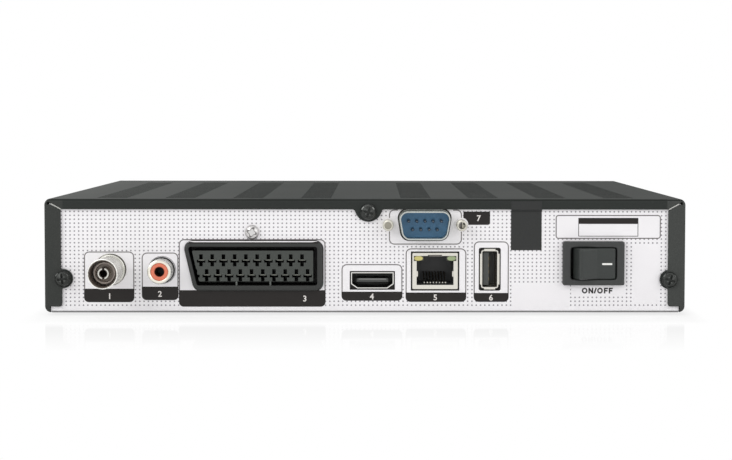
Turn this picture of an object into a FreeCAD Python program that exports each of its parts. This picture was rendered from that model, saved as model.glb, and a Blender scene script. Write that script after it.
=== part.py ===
"""A set-top satellite receiver, modelled as the separate pieces it is put together from.

Millimetres. +X to the right seen from behind, +Y from the connector panel to the fascia, +Z up.
The origin is the middle of the footprint on the surface that the rubber feet stand on.
"""
import FreeCAD, Part
import math
import os

Vector = FreeCAD.Vector
X_AXIS, Y_AXIS, Z_AXIS = Vector(1, 0, 0), Vector(0, 1, 0), Vector(0, 0, 1)

# ---------------------------------------------------------------- row of sockets, from left to right
left_to_aerial = 22.3
aerial_to_coax = 17.5
coax_to_av = 30.9
av_to_video = 40.7
video_to_net = 21.4
net_to_bus = 18.65
bus_to_switch = 35.35
switch_to_right = 31.5
serial_offset = 3.6         # of the serial socket, to the left of the network socket below it
net_to_serial = 15.85       # height of the serial socket over the network socket
serial_to_top = 8.8         # from its middle to the top of the cover

# ---------------------------------------------------------------- cabinet
sheet = 0.8                 # steel of the cover and of the chassis
sheet_gap = 0.2             # between the cover and what slides inside it
side_bend = 2.1             # outer radius of the cover's long bends
rear_bend = 1.2             # outer radius where the cover turns down over the panel
curl_width = 1.85           # how far the cover's sides turn in under the chassis
side_flange = 5.95          # width of the cover's returns on the connector panel
left_flange_step = 0.35     # the left return is narrower by this above its screw
top_flange = 3.55
flange_end = 1.67           # the side returns stop this far above the underside
flange_corner = 1.6
mitre_width = 0.35
mitre_inset = 1.5           # the corner relief holes are this far in from both edges
mitre_relief = 0.55
foot_stand = 1.0
press_gap = 0.02            # between parts that are pressed together
slip = 0.25                 # round a part that drops into an opening

# ---------------------------------------------------------------- vents of the cover
vent_length = 10.4
vent_width = 2.85
vent_pitch = 5.65
vent_rows = 20
vent_start = 6.0            # from the rear edge to the first slot
vent_first = 17.1           # from the middle to the first column
vent_spacing = 23.3
vent_columns = 4            # on each side of the middle

# ---------------------------------------------------------------- screws
screw_head = 2.7
screw_head_height = 1.7
screw_shank = 1.45
screw_length = 6.0
cross_width = 0.75
cross_length = 3.6
cross_depth = 1.1
left_screw = (6.4, 11.6)    # inset from the side and height above the underside
right_screw = (5.5, 11.3)
side_lug = 3.25             # radius of the round lugs that the screws go through
top_screw_x = 0.9
top_screw_drop = 4.5
top_lug = 4.65
top_lug_lift = 1.4          # from the screw up to the middle of its lug
lug_fillets = (0.5, 1.0)    # where the side lugs and the top lug join the returns
screw_turns = (-7.0, 19.0, 16.0)    # how far each cover screw is turned: left, right, top
panel_screw_turn = 20.0
panel_screw_offset = 0.2    # to the left of the 21-way socket's middle
panel_screw_rise = 11.5     # over its middle
panel_screw_head = 2.45

# ---------------------------------------------------------------- chassis
chassis_side_height = 12.0
chassis_front_height = 9.0
chassis_bend = 0.9
foot_radius = 6.0
foot_recess = 0.6
foot_chamfer = 0.3
foot_inset_x = 20.0
foot_inset_y = 18.0
floor_slot_length = 22.0
floor_slot_width = 2.5
floor_slot_pitch = 6.0
floor_slots = 7

# ---------------------------------------------------------------- circuit boards
board_thickness = 1.6
board_top_height = 7.4      # above the underside
board_edge_gap = 2.0
board_rear_gap = 0.6
bus_to_split = 4.55         # to the line between the main board and the power board
board_front_gap = 6.0
standoff_radius = 2.75
board_screw_head = 2.6
board_screw_head_height = 1.6
board_hole = 1.6

# ---------------------------------------------------------------- what stands on the main board
processor_place = (106.15, 62.0)    # from the left edge of the board and from the rear edge of the cover
processor_size = 23.0
processor_height = 2.0
sink_size = 30.0
sink_base = 2.5
sink_height = 13.0
sink_fins = 8
sink_fin = 1.1
memory_size = (9.0, 12.5, 1.2)
memory_gap = 12.0           # from the heatsink to the middle of the two memory chips
memory_spacing = 16.0
flash_size = (14.0, 12.0, 1.0)
flash_gap = 10.0            # from the heatsink to the middle of the flash chip
small_capacitor_places = (
    # from the left edge of the board, from the rear edge of the cover, radius, height
    (44.15, 34.0, 3.15, 11.0), (52.15, 42.0, 3.15, 11.0), (60.15, 34.0, 4.0, 12.0), (71.15, 36.0, 2.5, 9.0),
    (99.15, 34.0, 3.15, 11.0), (130.15, 52.0, 4.0, 12.0), (140.15, 44.0, 3.15, 11.0),
    (140.15, 62.0, 2.5, 9.0), (80.15, 92.0, 3.15, 11.0), (86.15, 102.0, 4.0, 12.0),
)
capacitor_chamfer = 0.35
card_reader_depth = 62.0
card_reader_tall = 5.2
card_reader_rim = 2.5
card_reader_window = 20.0
card_thick = 1.2

# ---------------------------------------------------------------- power board
# places are from the middle of the board and from its rear edge
fuse_place = (-18.0, 38.0)
fuse_radius = 2.6
fuse_length = 20.0
fuse_stand = 1.6
fuse_cap_length = 6.0
fuse_cap_wall = 0.1
fuse_clip_depth = 5.0
choke_place = (12.0, 41.5)
choke_size = (20.0, 16.0, 17.0)
choke_room = (9.0, 4.5, 12.5)       # width, bottom and top of the opening in the core
choke_winding = 5.0
filter_capacitor_place = (-10.0, 60.5)
filter_capacitor_size = (17.5, 8.5, 14.5)
bulk_place = (12.0, 62.5)
bulk_radius = 9.0
bulk_height = 24.0
transformer_x = 8.0
rear_to_transformer = 85.5
transformer_to_outputs = 23.5
outputs_to_front = 16.8
core_stand = 2.0
core_width = 24.0
core_depth = 20.0
core_height = 21.0
core_leg = 5.0
bobbin_foot = 4.6
outputs_x = -18.0                   # the first of the output capacitors
outputs_spacing = 12.0
outputs = 3
output_radius = 5.0
output_height = 20.0
plate_inset = 5.0                   # of the heatsink plate, from the right edge
plate_thick = 1.8
plate_margin = 7.8                  # from the front edge of the board
plate_depth = 20.0
plate_height = 24.0
plate_fold = 7.0

# ---------------------------------------------------------------- leads between the boards
ribbon_thick = 0.9
ribbon_width = 15.0
ribbon_bend = 3.0
header_height = 5.0
header_depth = 5.0
header_margin = 1.5
serial_header_inset = 38.0          # from the rear edge
front_header_inset = 8.0            # from the front edge of the main board
front_lead_offset = 3.8             # of the front ribbon, to the left of the network socket
front_lead_rise = 8.0
harness_inset = 85.5
harness_offset = 6.0                # of each header from the split between the boards
harness_header_depth = 12.0
harness_rise = 7.0
wire_radius = 0.8
wire_pitch = 2.5
wire_bend = 2.5
wire_sides = 8              # the leads are plain and eight-sided
wires_in_harness = 4

# ---------------------------------------------------------------- aerial socket
aerial_rise = 7.25          # of its middle over the board
aerial_stand = 14.4         # the barrel stands this far out of the panel
aerial_radius = 4.76
aerial_wall = 0.41
aerial_collar = 5.15
aerial_collar_stand = 1.4
aerial_hole = 5.45
aerial_ring_radius = 3.6
aerial_ring_wall = 0.5
aerial_ring_depth = 3.6
aerial_core_depth = 6.3
aerial_contact_radius = 1.85
aerial_contact_bore = 1.2
aerial_contact_depth = 1.6
aerial_slit = 0.35
aerial_slit_length = 6.0
tuner_width = 22.0
tuner_depth = 46.0
tuner_height = 17.0
tuner_gap = 1.0
tuner_skin = 0.4
tuner_lid = 3.5             # how far the lid's edges come down

# ---------------------------------------------------------------- coaxial audio socket
coax_rise = 7.1
coax_stand = 6.4
coax_radius = 4.15
coax_lip = 0.55
coax_hole = 4.75
coax_collar = 4.6
coax_collar_stand = 0.6
coax_core_radius = 3.0
coax_bore = 1.6
coax_core_recess = 0.25
coax_body_width = 10.4
coax_body_depth = 12.0

# ---------------------------------------------------------------- 21-way audio and video socket
av_rise = 8.55
av_width = 47.6
av_tall = 16.9
av_lean = 13.0              # degrees that the left side leans
av_corner = 2.7
av_rim = 1.8
av_rim_round = 0.8
av_groove = 1.4
av_stand = 1.5
av_depth = 14.0
av_groove_depth = 8.5
av_block_recess = 0.5
av_pitch = 3.81
av_row_gap = 5.08
av_slots = 10
av_slot_wide = 2.9
av_slot_tall = 4.1
av_slot_arm = 0.95
av_slot_stem = 1.2
av_slot_depth = 6.0
av_slot_arm_drop = 0.3      # the arms are this far below the middle of each slot
av_row_drop = 0.6
av_blade = 0.35
av_blade_recess = 1.2
av_first_slot = 17.5        # from the socket's middle to the first slot of the upper row
av_rib_offsets = (-5.5, 6.0)
av_rib = 0.6
av_rib_recess = 1.5

# ---------------------------------------------------------------- digital video socket
video_rise = 3.55
video_width = 14.5
video_tall = 5.5
video_chamfer_x = 2.1
video_chamfer_z = 1.5
video_depth = 11.0
video_recess = 0.1
video_tongue_width = 10.8
video_tongue_tall = 1.2
video_tongue_recess = 1.6
shell_foot = 1.6            # width of the legs that the folded sockets stand on
thin_shell = 0.35

# ---------------------------------------------------------------- network socket
net_rise = 6.75
net_width = 15.5
net_tall = 12.35
net_gap = 0.4               # round it in the panel
net_depth = 21.0
net_cavity_width = 12.6
net_cavity_tall = 8.2
net_cavity_depth = 13.0
net_cavity_floor = 1.4      # from the bottom of the shell to the floor of the cavity
net_notch_width = 4.8
net_notch_tall = 0.35
net_light_width = 3.3
net_light_tall = 1.75
net_light_margin = 0.5      # from the outside of the shell to each light
net_contact_pitch = 1.02
net_contacts = 8
net_contact_radius = 0.22
net_contact_rise = (0.45, 3.2)      # height over the cavity's floor at the two ends of each wire
net_contact_recess = 2.5

# ---------------------------------------------------------------- serial bus socket, standing on edge
bus_rise = 7.4
bus_width = 5.8
bus_tall = 13.0
bus_depth = 14.0
bus_lip = 0.45
bus_tongue_thick = 1.85
bus_tongue_tall = 11.2
bus_tongue_offset = 1.15    # from the middle towards the left
bus_tongue_recess = 1.6

# ---------------------------------------------------------------- nine-way serial socket
serial_width = 18.15
serial_tall = 9.75
serial_lean = 10.0
serial_corner = 2.8
serial_wall = 0.5
serial_stand = 5.1
serial_well = 5.0
serial_plate_tall = 12.4
serial_body_depth = 6.0
serial_pin_pitch = 2.77
serial_row_gap = 2.84
serial_pin = 0.5
serial_pin_recess = 0.6
serial_pin_tail = 2.5
jack_clear = 3.42           # from the side of the D to the middle of each post
jack_margin = 2.9           # from there to the end of the flange plate
jack_radius = 1.85
jack_stand = 4.6
jack_bore = 1.2
jack_depth = 5.0            # of the screw hole in each post
jack_shank = 3.5            # behind the panel
jack_nut_radius = 2.6
jack_nut_thick = 1.6
serial_pins_upper = 5

# ---------------------------------------------------------------- mains rocker switch
switch_rise = 9.5
bezel_width = 21.0
bezel_tall = 15.0
bezel_thick = 2.0
switch_body_width = 19.2
switch_body_tall = 12.9
switch_body_depth = 14.0
rocker_length = 15.3
rocker_tall = 10.6
rocker_gap = 0.15
rocker_tilt = 12.5          # degrees either side of the middle position
rocker_drop = 4.0           # from the bezel's face to the pivot
rocker_proud = 0.35         # pressed half above the bezel's face
rocker_pin = 1.0
rocker_pin_gap = 0.08
rocker_pin_length = 0.9
terminal_width = 4.8
terminal_thick = 0.8
terminal_length = 8.0
terminal_spacing = 7.0
rocker_well = 9.0           # depth of the well behind the panel
rocker_web = (2.2, 4.2)     # half width and depth of the rocker's foot behind the pivot
rocker_side = 10.0          # degrees over the pivot where its end walls stop
rocker_heel = (0.86, 1.2)   # where its undersides begin: share of the half length, and depth
rocker_edge = 0.6           # rounding of the long edges of its face
well_edge = 0.5
snap_wing = (0.8, 4.7)      # thickness and length of the wings behind the panel
snap_wing_width = 6.0
lead_radius = 1.1
lead_reach = 6.0            # from the terminals to where the leads turn down

# ---------------------------------------------------------------- seal label
bus_to_label = 7.2          # from the middle of the bus socket to the label's left edge
label_width = 10.45
label_length = 16.7
label_drop = 0.8            # its upper edge is this far below the top of the cover
label_thick = 0.12
label_bridge = 0.9

# ---------------------------------------------------------------- fascia
fascia_depth = 13.0
fascia_drop = 0.8           # its top is this far below the cover's
fascia_inset = 0.3
fascia_crown = 1.6          # the front bulges by this much in the middle
fascia_wall = 2.0
fascia_corner = 3.0
fascia_edge = 1.2
lip_length = 4.0
lip_wall = 1.0
front_wall = 3.6            # thickness of the front in the middle
window_width = 92.0
window_tall = 22.0
window_thick = 2.2
display_width = 50.2
display_tall = 19.0
display_x = 8.0
card_inset = 45.0           # from the left end to the middle of the card slot
card_slot_width = 56.0
card_slot_tall = 2.2
card_slot_rise = 2.8        # over the main board
receiver_gap = 12.0         # from the window's left edge
receiver_hole = 3.2
receiver_size = (5.4, 4.0, 6.8)
receiver_lens = 2.4

# ---------------------------------------------------------------- front buttons
button_travel = 0.5
button_gap = 0.25
button_proud = 0.6
button_flange = 1.0
button_seat_gap = 0.15
button_rise = 13.6          # over the main board
standby_inset = 21.0        # from the right end
standby_to_up = 17.0
up_to_down = 13.0
standby_radius = 7.0
channel_width = 9.0
channel_tall = 9.0
channel_corner = 2.0
stem_radius = 1.6
tact_size = 6.0
tact_height = 3.5
tact_plunger = 1.7
plunger_height = 0.8
front_board_tall = 24.0
front_board_gap = 0.4       # behind the front board, to the chassis
front_board_margins = (10.0, 9.0)   # left of the remote-control receiver, and from the right end
boss_radius = 3.0
button_flange_grow = 1.2

# ================================================================ places that follow from these
body_width = (left_to_aerial + aerial_to_coax + coax_to_av + av_to_video + video_to_net + net_to_bus
              + bus_to_switch + switch_to_right)
half_width = body_width / 2
aerial_x = left_to_aerial - half_width
coax_x = aerial_x + aerial_to_coax
av_x = coax_x + coax_to_av
video_x = av_x + av_to_video
net_x = video_x + video_to_net
bus_x = net_x + net_to_bus
switch_x = bus_x + bus_to_switch
serial_x = net_x - serial_offset
jack_spacing = serial_width + 2 * jack_clear
serial_plate_width = jack_spacing + 2 * jack_margin
panel_screw_x = av_x - panel_screw_offset
label_x = (bus_x + bus_to_label, bus_x + bus_to_label + label_width)
board_split_x = bus_x + bus_to_split
front_lead_x = net_x - front_lead_offset
card_x = card_inset - half_width
receiver_x = receiver_gap - window_width / 2
standby_x = half_width - standby_inset
channel_up_x = standby_x - standby_to_up
channel_down_x = channel_up_x - up_to_down
front_board_x = (receiver_x - front_board_margins[0], half_width - front_board_margins[1])

base = foot_stand
board_top = base + board_top_height
board_under = board_top - board_thickness
floor_top = base + sheet
aerial_z = board_top + aerial_rise
coax_z = board_top + coax_rise
av_z = board_top + av_rise
video_z = board_top + video_rise
net_z = board_top + net_rise
bus_z = board_top + bus_rise
switch_z = board_top + switch_rise
serial_z = net_z + net_to_serial
card_slot_z = board_top + card_slot_rise
button_z = board_top + button_rise
roof = serial_z + serial_to_top
top_screw_z = roof - top_screw_drop
panel_screw_z = av_z + panel_screw_rise
window_middle = (base + roof - fascia_drop) / 2

board_depth = rear_to_transformer + transformer_to_outputs + outputs_to_front
cover_depth = 2 * sheet + board_rear_gap + board_depth + board_front_gap + sheet + sheet_gap
overall_depth = aerial_stand - sheet + cover_depth + fascia_depth + button_proud
rear_y = aerial_stand - sheet - overall_depth / 2
panel_y = rear_y + sheet            # outer face of the connector panel
panel_in = panel_y + sheet
front_y = rear_y + cover_depth
pan_front = front_y - sheet_gap
board_rear = panel_in + board_rear_gap
board_front = board_rear + board_depth
fascia_front = front_y + fascia_depth
front_in = fascia_front - front_wall        # inner face of the fascia's front
front_board_y = (front_y + front_board_gap, front_y + front_board_gap + board_thickness)
serial_tail = panel_in + serial_body_depth + serial_pin_tail
serial_header_y = rear_y + serial_header_inset
front_header_y = board_front - front_header_inset
harness_y = board_rear + harness_inset
harness_x = (board_split_x - harness_offset, board_split_x + harness_offset)

pan_half = half_width - curl_width - sheet_gap
main_board_x = (-pan_half + sheet + board_edge_gap, board_split_x - board_edge_gap / 2)
power_board_x = (board_split_x + board_edge_gap / 2, pan_half - sheet - board_edge_gap)
transformer_place = (transformer_x, rear_to_transformer)
outputs_place = (outputs_x, rear_to_transformer + transformer_to_outputs)


# ================================================================ shapes that many pieces use
def around(centre, size):
    """The two limits of a size about its middle."""
    return (centre - size / 2, centre + size / 2)


def block(x, y, z):
    """A box between pairs of limits."""
    solid = Part.makeBox(x[1] - x[0], y[1] - y[0], z[1] - z[0])
    solid.translate(Vector(x[0], y[0], z[0]))
    return solid


def along(axis):
    """Picks the straight edges that run along an axis."""
    def pick(edge):
        run = edge.Vertexes[-1].Point - edge.Vertexes[0].Point
        straight = edge.Curve.TypeId == "Part::GeomLine" and run.Length > 0
        return straight and abs(run.dot(axis)) > 0.999 * run.Length
    return pick


def at_depth(y):
    """Picks the edges that lie in the plane at one y."""
    return lambda edge: max(abs(v.Point.y - y) for v in edge.Vertexes) < 1e-6


def at_level(z):
    """Picks the edges that lie in the plane at one z."""
    return lambda edge: max(abs(v.Point.z - z) for v in edge.Vertexes) < 1e-6


def rounded(solid, radius, pick):
    """The solid with its picked edges filleted."""
    return solid.makeFillet(radius, [edge for edge in solid.Edges if pick(edge)])


def slab(x, y, z, corner):
    """A box with the four edges along Y rounded, such as a bezel or a cut-out."""
    return rounded(block(x, y, z), corner, along(Y_AXIS))


def prism(points, y, corner=0.0):
    """An outline of (x, z) points carried from one y to another, with rounded corners."""
    corners = [Vector(px, y[0], pz) for px, pz in points]
    solid = Part.Face(Part.makePolygon(corners + corners[:1])).extrude(Vector(0, y[1] - y[0], 0))
    return rounded(solid, corner, along(Y_AXIS)) if corner else solid


def cylinder(radius, start, end):
    """A round bar between two points."""
    start, run = Vector(*start), Vector(*end) - Vector(*start)
    return Part.makeCylinder(radius, run.Length, start, run)


def turned(profile, x, z):
    """A profile of (radius, y) points turned about the line along Y through x and z."""
    points = [Vector(radius, y, 0) for radius, y in profile]
    solid = Part.Face(Part.makePolygon(points + points[:1])).revolve(Vector(0, 0, 0), Y_AXIS, 360)
    solid.translate(Vector(x, 0, z))
    return solid


def upright(profile, x, y, z):
    """A profile of (radius, height) points turned about the upright line through x and y, standing at z."""
    points = [Vector(radius, 0, height) for radius, height in profile]
    solid = Part.Face(Part.makePolygon(points + points[:1])).revolve(Vector(0, 0, 0), Z_AXIS, 360)
    solid.translate(Vector(x, y, z))
    return solid


def fused(solids):
    """One solid from several that touch or overlap."""
    return solids[0].multiFuse(solids[1:]).removeSplitter()


def cut(solid, tools):
    """The solid less the tools."""
    return solid.cut(Part.makeCompound(tools))


def group(solids):
    """Separate solids that share a node."""
    return Part.makeCompound(solids)


def mirrored(solid):
    """The same solid on the other side of the middle."""
    return solid.mirror(Vector(0, 0, 0), X_AXIS)


def pan_screw(x, y, z, radius, height, turn):
    """A pan-head screw with a cross recess turned by some degrees, driven along +Y, its head seated at y."""
    crown = y - height
    profile = [(0, crown), (radius * 0.45, crown), (radius * 0.8, crown + height * 0.25),
               (radius, crown + height * 0.7), (radius, y), (screw_shank, y),
               (screw_shank, y + screw_length - 1), (screw_shank / 2, y + screw_length), (0, y + screw_length)]
    recess_y = (crown - 1, crown + cross_depth)
    cross = [block(around(x, cross_width), recess_y, around(z, cross_length)),
             block(around(x, cross_length), recess_y, around(z, cross_width))]
    for arm in cross:
        arm.rotate(Vector(x, 0, z), Y_AXIS, turn)
    return cut(turned(profile, x, z), cross)


# ================================================================ cover
def beside_lug(edge):
    """Whether an edge of the cover's window is where a side lug joins its return, not a lug's seam."""
    point = edge.Vertexes[0].Point
    low, high = base + flange_end + 1e-6, roof - top_flange - 1e-6
    seam = min(abs(point.x - x) for x, z in screw_places()) < 1e-6
    return along(Y_AXIS)(edge) and not seam and low < point.z < high


def beside_top_lug(edge):
    """Whether an edge of the cover's window is where the top lug joins its return."""
    point = edge.Vertexes[0].Point
    return along(Y_AXIS)(edge) and abs(point.z - roof + top_flange) < 1e-6 and abs(point.x) < half_width / 2


def at_return_end(edge):
    """Whether an edge of the cover's window is the lower inner corner of a side return."""
    point = edge.Vertexes[0].Point
    inner = abs(point.x) < half_width - side_flange + 1e-6
    return along(Y_AXIS)(edge) and inner and abs(point.z - base - flange_end) < 1e-6


def cover_window():
    """The opening that the cover's rear returns leave, with the screw lugs standing into it."""
    y = (rear_y - 1, rear_y + sheet + 0.01)
    inner, foot = half_width - side_flange, half_width - curl_width
    top = roof - top_flange
    window = fused([block((-inner, inner), y, (base - 1, top)),
                    block((-inner - left_flange_step, 0), y, (base + left_screw[1], top)),
                    block((-foot, foot), y, (base - 1, base + flange_end))])
    left, right, upper = screw_places()
    places = [(side_lug, left), (side_lug, right), (top_lug, (upper[0], upper[1] + top_lug_lift))]
    window = cut(window, [cylinder(radius, (x, y[0] - 1, z), (x, y[1] + 1, z)) for radius, (x, z) in places])
    window = rounded(rounded(window, lug_fillets[0], beside_lug), lug_fillets[1], beside_top_lug)
    return rounded(window, flange_corner, at_return_end)


def mitres():
    """The open mitres of the rear returns, each with a relief hole at its outer end."""
    inner = Vector(half_width - side_flange - 0.5, rear_y - 1, roof - top_flange - 0.5)
    outer = Vector(half_width - mitre_inset, rear_y - 1, roof - mitre_inset)
    run = outer - inner
    slit = Part.makeBox(run.Length, sheet + 1.01, mitre_width, Vector(0, 0, -mitre_width / 2))
    slit.rotate(Vector(0, 0, 0), Y_AXIS, -math.degrees(math.atan2(run.z, run.x)))
    slit.translate(inner)
    relief = cylinder(mitre_relief, tuple(outer), (outer.x, rear_y + sheet + 0.01, outer.z))
    return [slit, relief, mirrored(slit), mirrored(relief)]


def vents():
    """Eight columns of short crosswise slots through the top."""
    slots = []
    for column in range(vent_columns):
        for side in (-1, 1):
            x = around(side * (vent_first + column * vent_spacing), vent_length)
            for row in range(vent_rows):
                y = rear_y + vent_start + row * vent_pitch
                slots.append(block(x, (y, y + vent_width), (roof - sheet - 1, roof + 1)))
    return slots


def screw_places():
    """Where the cover's three screws go, as (x, z): left, right and top."""
    left = (left_screw[0] - half_width, base + left_screw[1])
    right = (half_width - right_screw[0], base + right_screw[1])
    return [left, right, (top_screw_x, top_screw_z)]


def top_cover():
    """Folded steel: top, sides, narrow returns over the connector panel and curls under the chassis."""
    outside = block((-half_width, half_width), (rear_y, front_y), (base, roof))
    outside = rounded(rounded(outside, side_bend, along(Y_AXIS)), rear_bend, at_depth(rear_y))
    room = half_width - sheet
    inside = block((-room, room), (rear_y + sheet, front_y + 1), (base + sheet, roof - sheet))
    inside = rounded(inside, side_bend - sheet, along(Y_AXIS))
    inside = rounded(inside, rear_bend - sheet, at_depth(rear_y + sheet))
    open_floor = half_width - curl_width
    tools = [inside, block((-open_floor, open_floor), (rear_y - 1, front_y + 1), (base - 1, base + side_bend))]
    holes = [cylinder(screw_shank + sheet_gap, (x, rear_y - 1, z), (x, rear_y + sheet + 1, z))
             for x, z in screw_places()]
    return cut(cut(cut(outside, tools), [cover_window()] + mitres() + holes), vents())


def cover_screws():
    """The three black screws of the cover."""
    return group([pan_screw(x, rear_y, z, screw_head, screw_head_height, turn)
                  for (x, z), turn in zip(screw_places(), screw_turns)])


def panel_screw():
    """The bright screw that holds the 21-way socket to the panel."""
    return pan_screw(panel_screw_x, panel_y, panel_screw_z, panel_screw_head, screw_head_height,
                     panel_screw_turn)


def seal_label():
    """A blank label stuck across the joint between the cover and the panel."""
    step = roof - top_flange
    skin = label_thick
    profile = [(panel_y, roof - label_drop - label_length), (panel_y, step - label_bridge), (rear_y, step),
               (rear_y, roof - label_drop), (rear_y - skin, roof - label_drop), (rear_y - skin, step),
               (panel_y - skin, step - label_bridge), (panel_y - skin, roof - label_drop - label_length)]
    points = [Vector(label_x[0], y, z) for y, z in profile]
    return Part.Face(Part.makePolygon(points + points[:1])).extrude(Vector(label_x[1] - label_x[0], 0, 0))


# ================================================================ outlines of the sockets
def av_outline(inset, y):
    """The 21-way socket's outline, upright on the right and leaning on the left, drawn in by inset."""
    x, z = around(av_x, av_width - 2 * inset), around(av_z, av_tall - 2 * inset)
    lean = (z[1] - z[0]) * math.tan(math.radians(av_lean))
    points = [(x[0], z[1]), (x[1], z[1]), (x[1], z[0]), (x[0] + lean, z[0])]
    return prism(points, y, max(av_corner - inset, 0.4))


def serial_outline(inset, y):
    """The D of the nine-way socket, wide side up, drawn in by inset."""
    x, z = around(serial_x, serial_width - 2 * inset), around(serial_z, serial_tall - 2 * inset)
    lean = (z[1] - z[0]) * math.tan(math.radians(serial_lean))
    points = [(x[0], z[1]), (x[1], z[1]), (x[1] - lean, z[0]), (x[0] + lean, z[0])]
    return prism(points, y, serial_corner - inset)


def video_outline(inset, y):
    """The digital video socket's outline, with its two lower corners cut off, drawn in by inset."""
    x, z = around(video_x, video_width - 2 * inset), around(video_z, video_tall - 2 * inset)
    points = [(x[0], z[1]), (x[1], z[1]), (x[1], z[0] + video_chamfer_z), (x[1] - video_chamfer_x, z[0]),
              (x[0] + video_chamfer_x, z[0]), (x[0], z[0] + video_chamfer_z)]
    return prism(points, y)


# ================================================================ chassis
def panel_cutouts():
    """The openings of the connector panel, each a slip larger than what shows through it."""
    y = (panel_y - 1, panel_in + 1)
    cutouts = [
        cylinder(aerial_hole, (aerial_x, y[0], aerial_z), (aerial_x, y[1], aerial_z)),
        cylinder(coax_hole, (coax_x, y[0], coax_z), (coax_x, y[1], coax_z)),
        av_outline(-slip, y),
        block(around(video_x, video_width + 2 * slip), y, around(video_z, video_tall + 2 * slip)),
        block(around(net_x, net_width + 2 * net_gap), y, around(net_z, net_tall + 2 * net_gap)),
        slab(around(bus_x, bus_width + 2 * bus_lip + 2 * slip), y,
             around(bus_z, bus_tall + 2 * bus_lip + 2 * slip), bus_lip + slip),
        serial_outline(-slip, y),
        block(around(switch_x, switch_body_width + 2 * slip), y,
              around(switch_z, switch_body_tall + 2 * slip)),
    ]
    cutouts += [cylinder(jack_bore + slip, (x, y[0], serial_z), (x, y[1], serial_z))
                for x in around(serial_x, jack_spacing)]
    threads = screw_places() + [(panel_screw_x, panel_screw_z)]
    cutouts += [cylinder(screw_shank + press_gap, (x, y[0], z), (x, y[1], z)) for x, z in threads]
    return cutouts


def foot_places():
    """The middles of the four feet."""
    ends = (rear_y + foot_inset_y, front_y - foot_inset_y)
    return [(side * (half_width - foot_inset_x), y) for side in (-1, 1) for y in ends]


def standoff_places():
    """The corners at which each of the two boards is carried."""
    inset = standoff_radius + 1
    places = []
    for x in (main_board_x, power_board_x):
        for px in (x[0] + inset, x[1] - inset):
            places += [(px, board_rear + tuner_depth + 2 * inset), (px, board_front - inset)]
    return places


def chassis_pan():
    """Bent steel: floor, connector panel, low side walls and a low front wall."""
    edge_gap = rear_bend - sheet + sheet_gap
    panel_half = half_width - sheet - edge_gap
    panel_foot = base + side_bend + sheet_gap
    floor = block((-pan_half, pan_half), (panel_y, pan_front), (base, floor_top))
    foot = block((-pan_half, pan_half), (panel_y, panel_in), (base, panel_foot))
    panel = block((-panel_half, panel_half), (panel_y, panel_in), (panel_foot, roof - sheet - edge_gap))
    panel = rounded(panel, 1.0, along(Y_AXIS))
    pan = rounded(fused([floor, foot]), chassis_bend, lambda e: at_depth(panel_y)(e) and at_level(base)(e))
    sides = [block((side * pan_half - (sheet if side > 0 else 0), side * pan_half + (0 if side > 0 else sheet)),
                   (panel_in + sheet, pan_front), (floor_top, base + chassis_side_height)) for side in (-1, 1)]
    front = block((-pan_half + 2 * sheet, pan_half - 2 * sheet), (pan_front - sheet, pan_front),
                  (floor_top, base + chassis_front_height))
    dishes = [cylinder(foot_radius + sheet + slip, (x, y, floor_top), (x, y, floor_top + foot_recess))
              for x, y in foot_places()]
    pan = fused([pan, panel, front] + sides + dishes)
    recesses = [cylinder(foot_radius + slip, (x, y, base - 1), (x, y, base + foot_recess))
                for x, y in foot_places()]
    return cut(pan, panel_cutouts() + recesses + floor_vents())


def floor_vents():
    """Rows of slots in the floor under the power board and under the main board's processor."""
    slots = []
    for middle in (sum(power_board_x) / 2, sum(main_board_x) / 2):
        for row in range(floor_slots):
            y = rear_y + cover_depth / 2 + (row - floor_slots / 2) * floor_slot_pitch
            slots.append(block(around(middle, floor_slot_length), (y, y + floor_slot_width),
                               (base - 1, floor_top + 1)))
    return slots


def rubber_feet():
    """Four flat rubber pads in the floor's shallow recesses."""
    height = base + foot_recess
    profile = [(0, 0), (foot_radius - foot_chamfer, 0), (foot_radius, foot_chamfer), (foot_radius, height),
               (0, height)]
    return group([upright(profile, x, y, 0) for x, y in foot_places()])


def standoffs():
    """Round pillars riveted into the floor."""
    return group([cut(cylinder(standoff_radius, (x, y, floor_top), (x, y, board_under)),
                      [cylinder(screw_shank + press_gap, (x, y, floor_top - 1), (x, y, board_under + 1))])
                  for x, y in standoff_places()])


def board_screws():
    """The screws that hold both boards down on their pillars."""
    head, top = board_screw_head_height, board_top + board_screw_head_height
    shank = floor_top + 0.5 - board_top
    profile = [(0, shank), (screw_shank, shank), (screw_shank, 0), (board_screw_head, 0),
               (board_screw_head, head * 0.6), (board_screw_head * 0.75, head), (0, head)]
    recess = (top - 0.8, top + 1)
    screws = []
    for x, y in standoff_places():
        cross = [block(around(x, cross_width), around(y, cross_length), recess),
                 block(around(x, cross_length), around(y, cross_width), recess)]
        screws.append(cut(upright(profile, x, y, board_top), cross))
    return group(screws)


# ================================================================ boards and what stands on them
def board(x):
    """One circuit board with a clearance hole over each pillar."""
    sheet_of_board = block(x, (board_rear, board_front), (board_under, board_top))
    holes = [cylinder(board_hole, (px, py, board_under - 1), (px, py, board_top + 1))
             for px, py in standoff_places()]
    return cut(sheet_of_board, holes)


def on_board(x, y, height):
    """A plain block that stands on the boards."""
    return block(x, y, (board_top, board_top + height))


def capacitor(x, y, radius, height):
    """An upright electrolytic capacitor with its rounded-off top."""
    edge = capacitor_chamfer
    profile = [(0, 0), (radius, 0), (radius, height - edge), (radius - edge, height), (0, height)]
    return upright(profile, x, y, board_top)


def on_main_board(place):
    """A place on the main board, given from its left edge and from the rear edge of the cover."""
    return main_board_x[0] + place[0], rear_y + place[1]


def processor_chip():
    """The decoder chip."""
    x, y = on_main_board(processor_place)
    return rounded(on_board(around(x, processor_size), around(y, processor_size), processor_height), 0.3,
                   at_level(board_top + processor_height))


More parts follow.
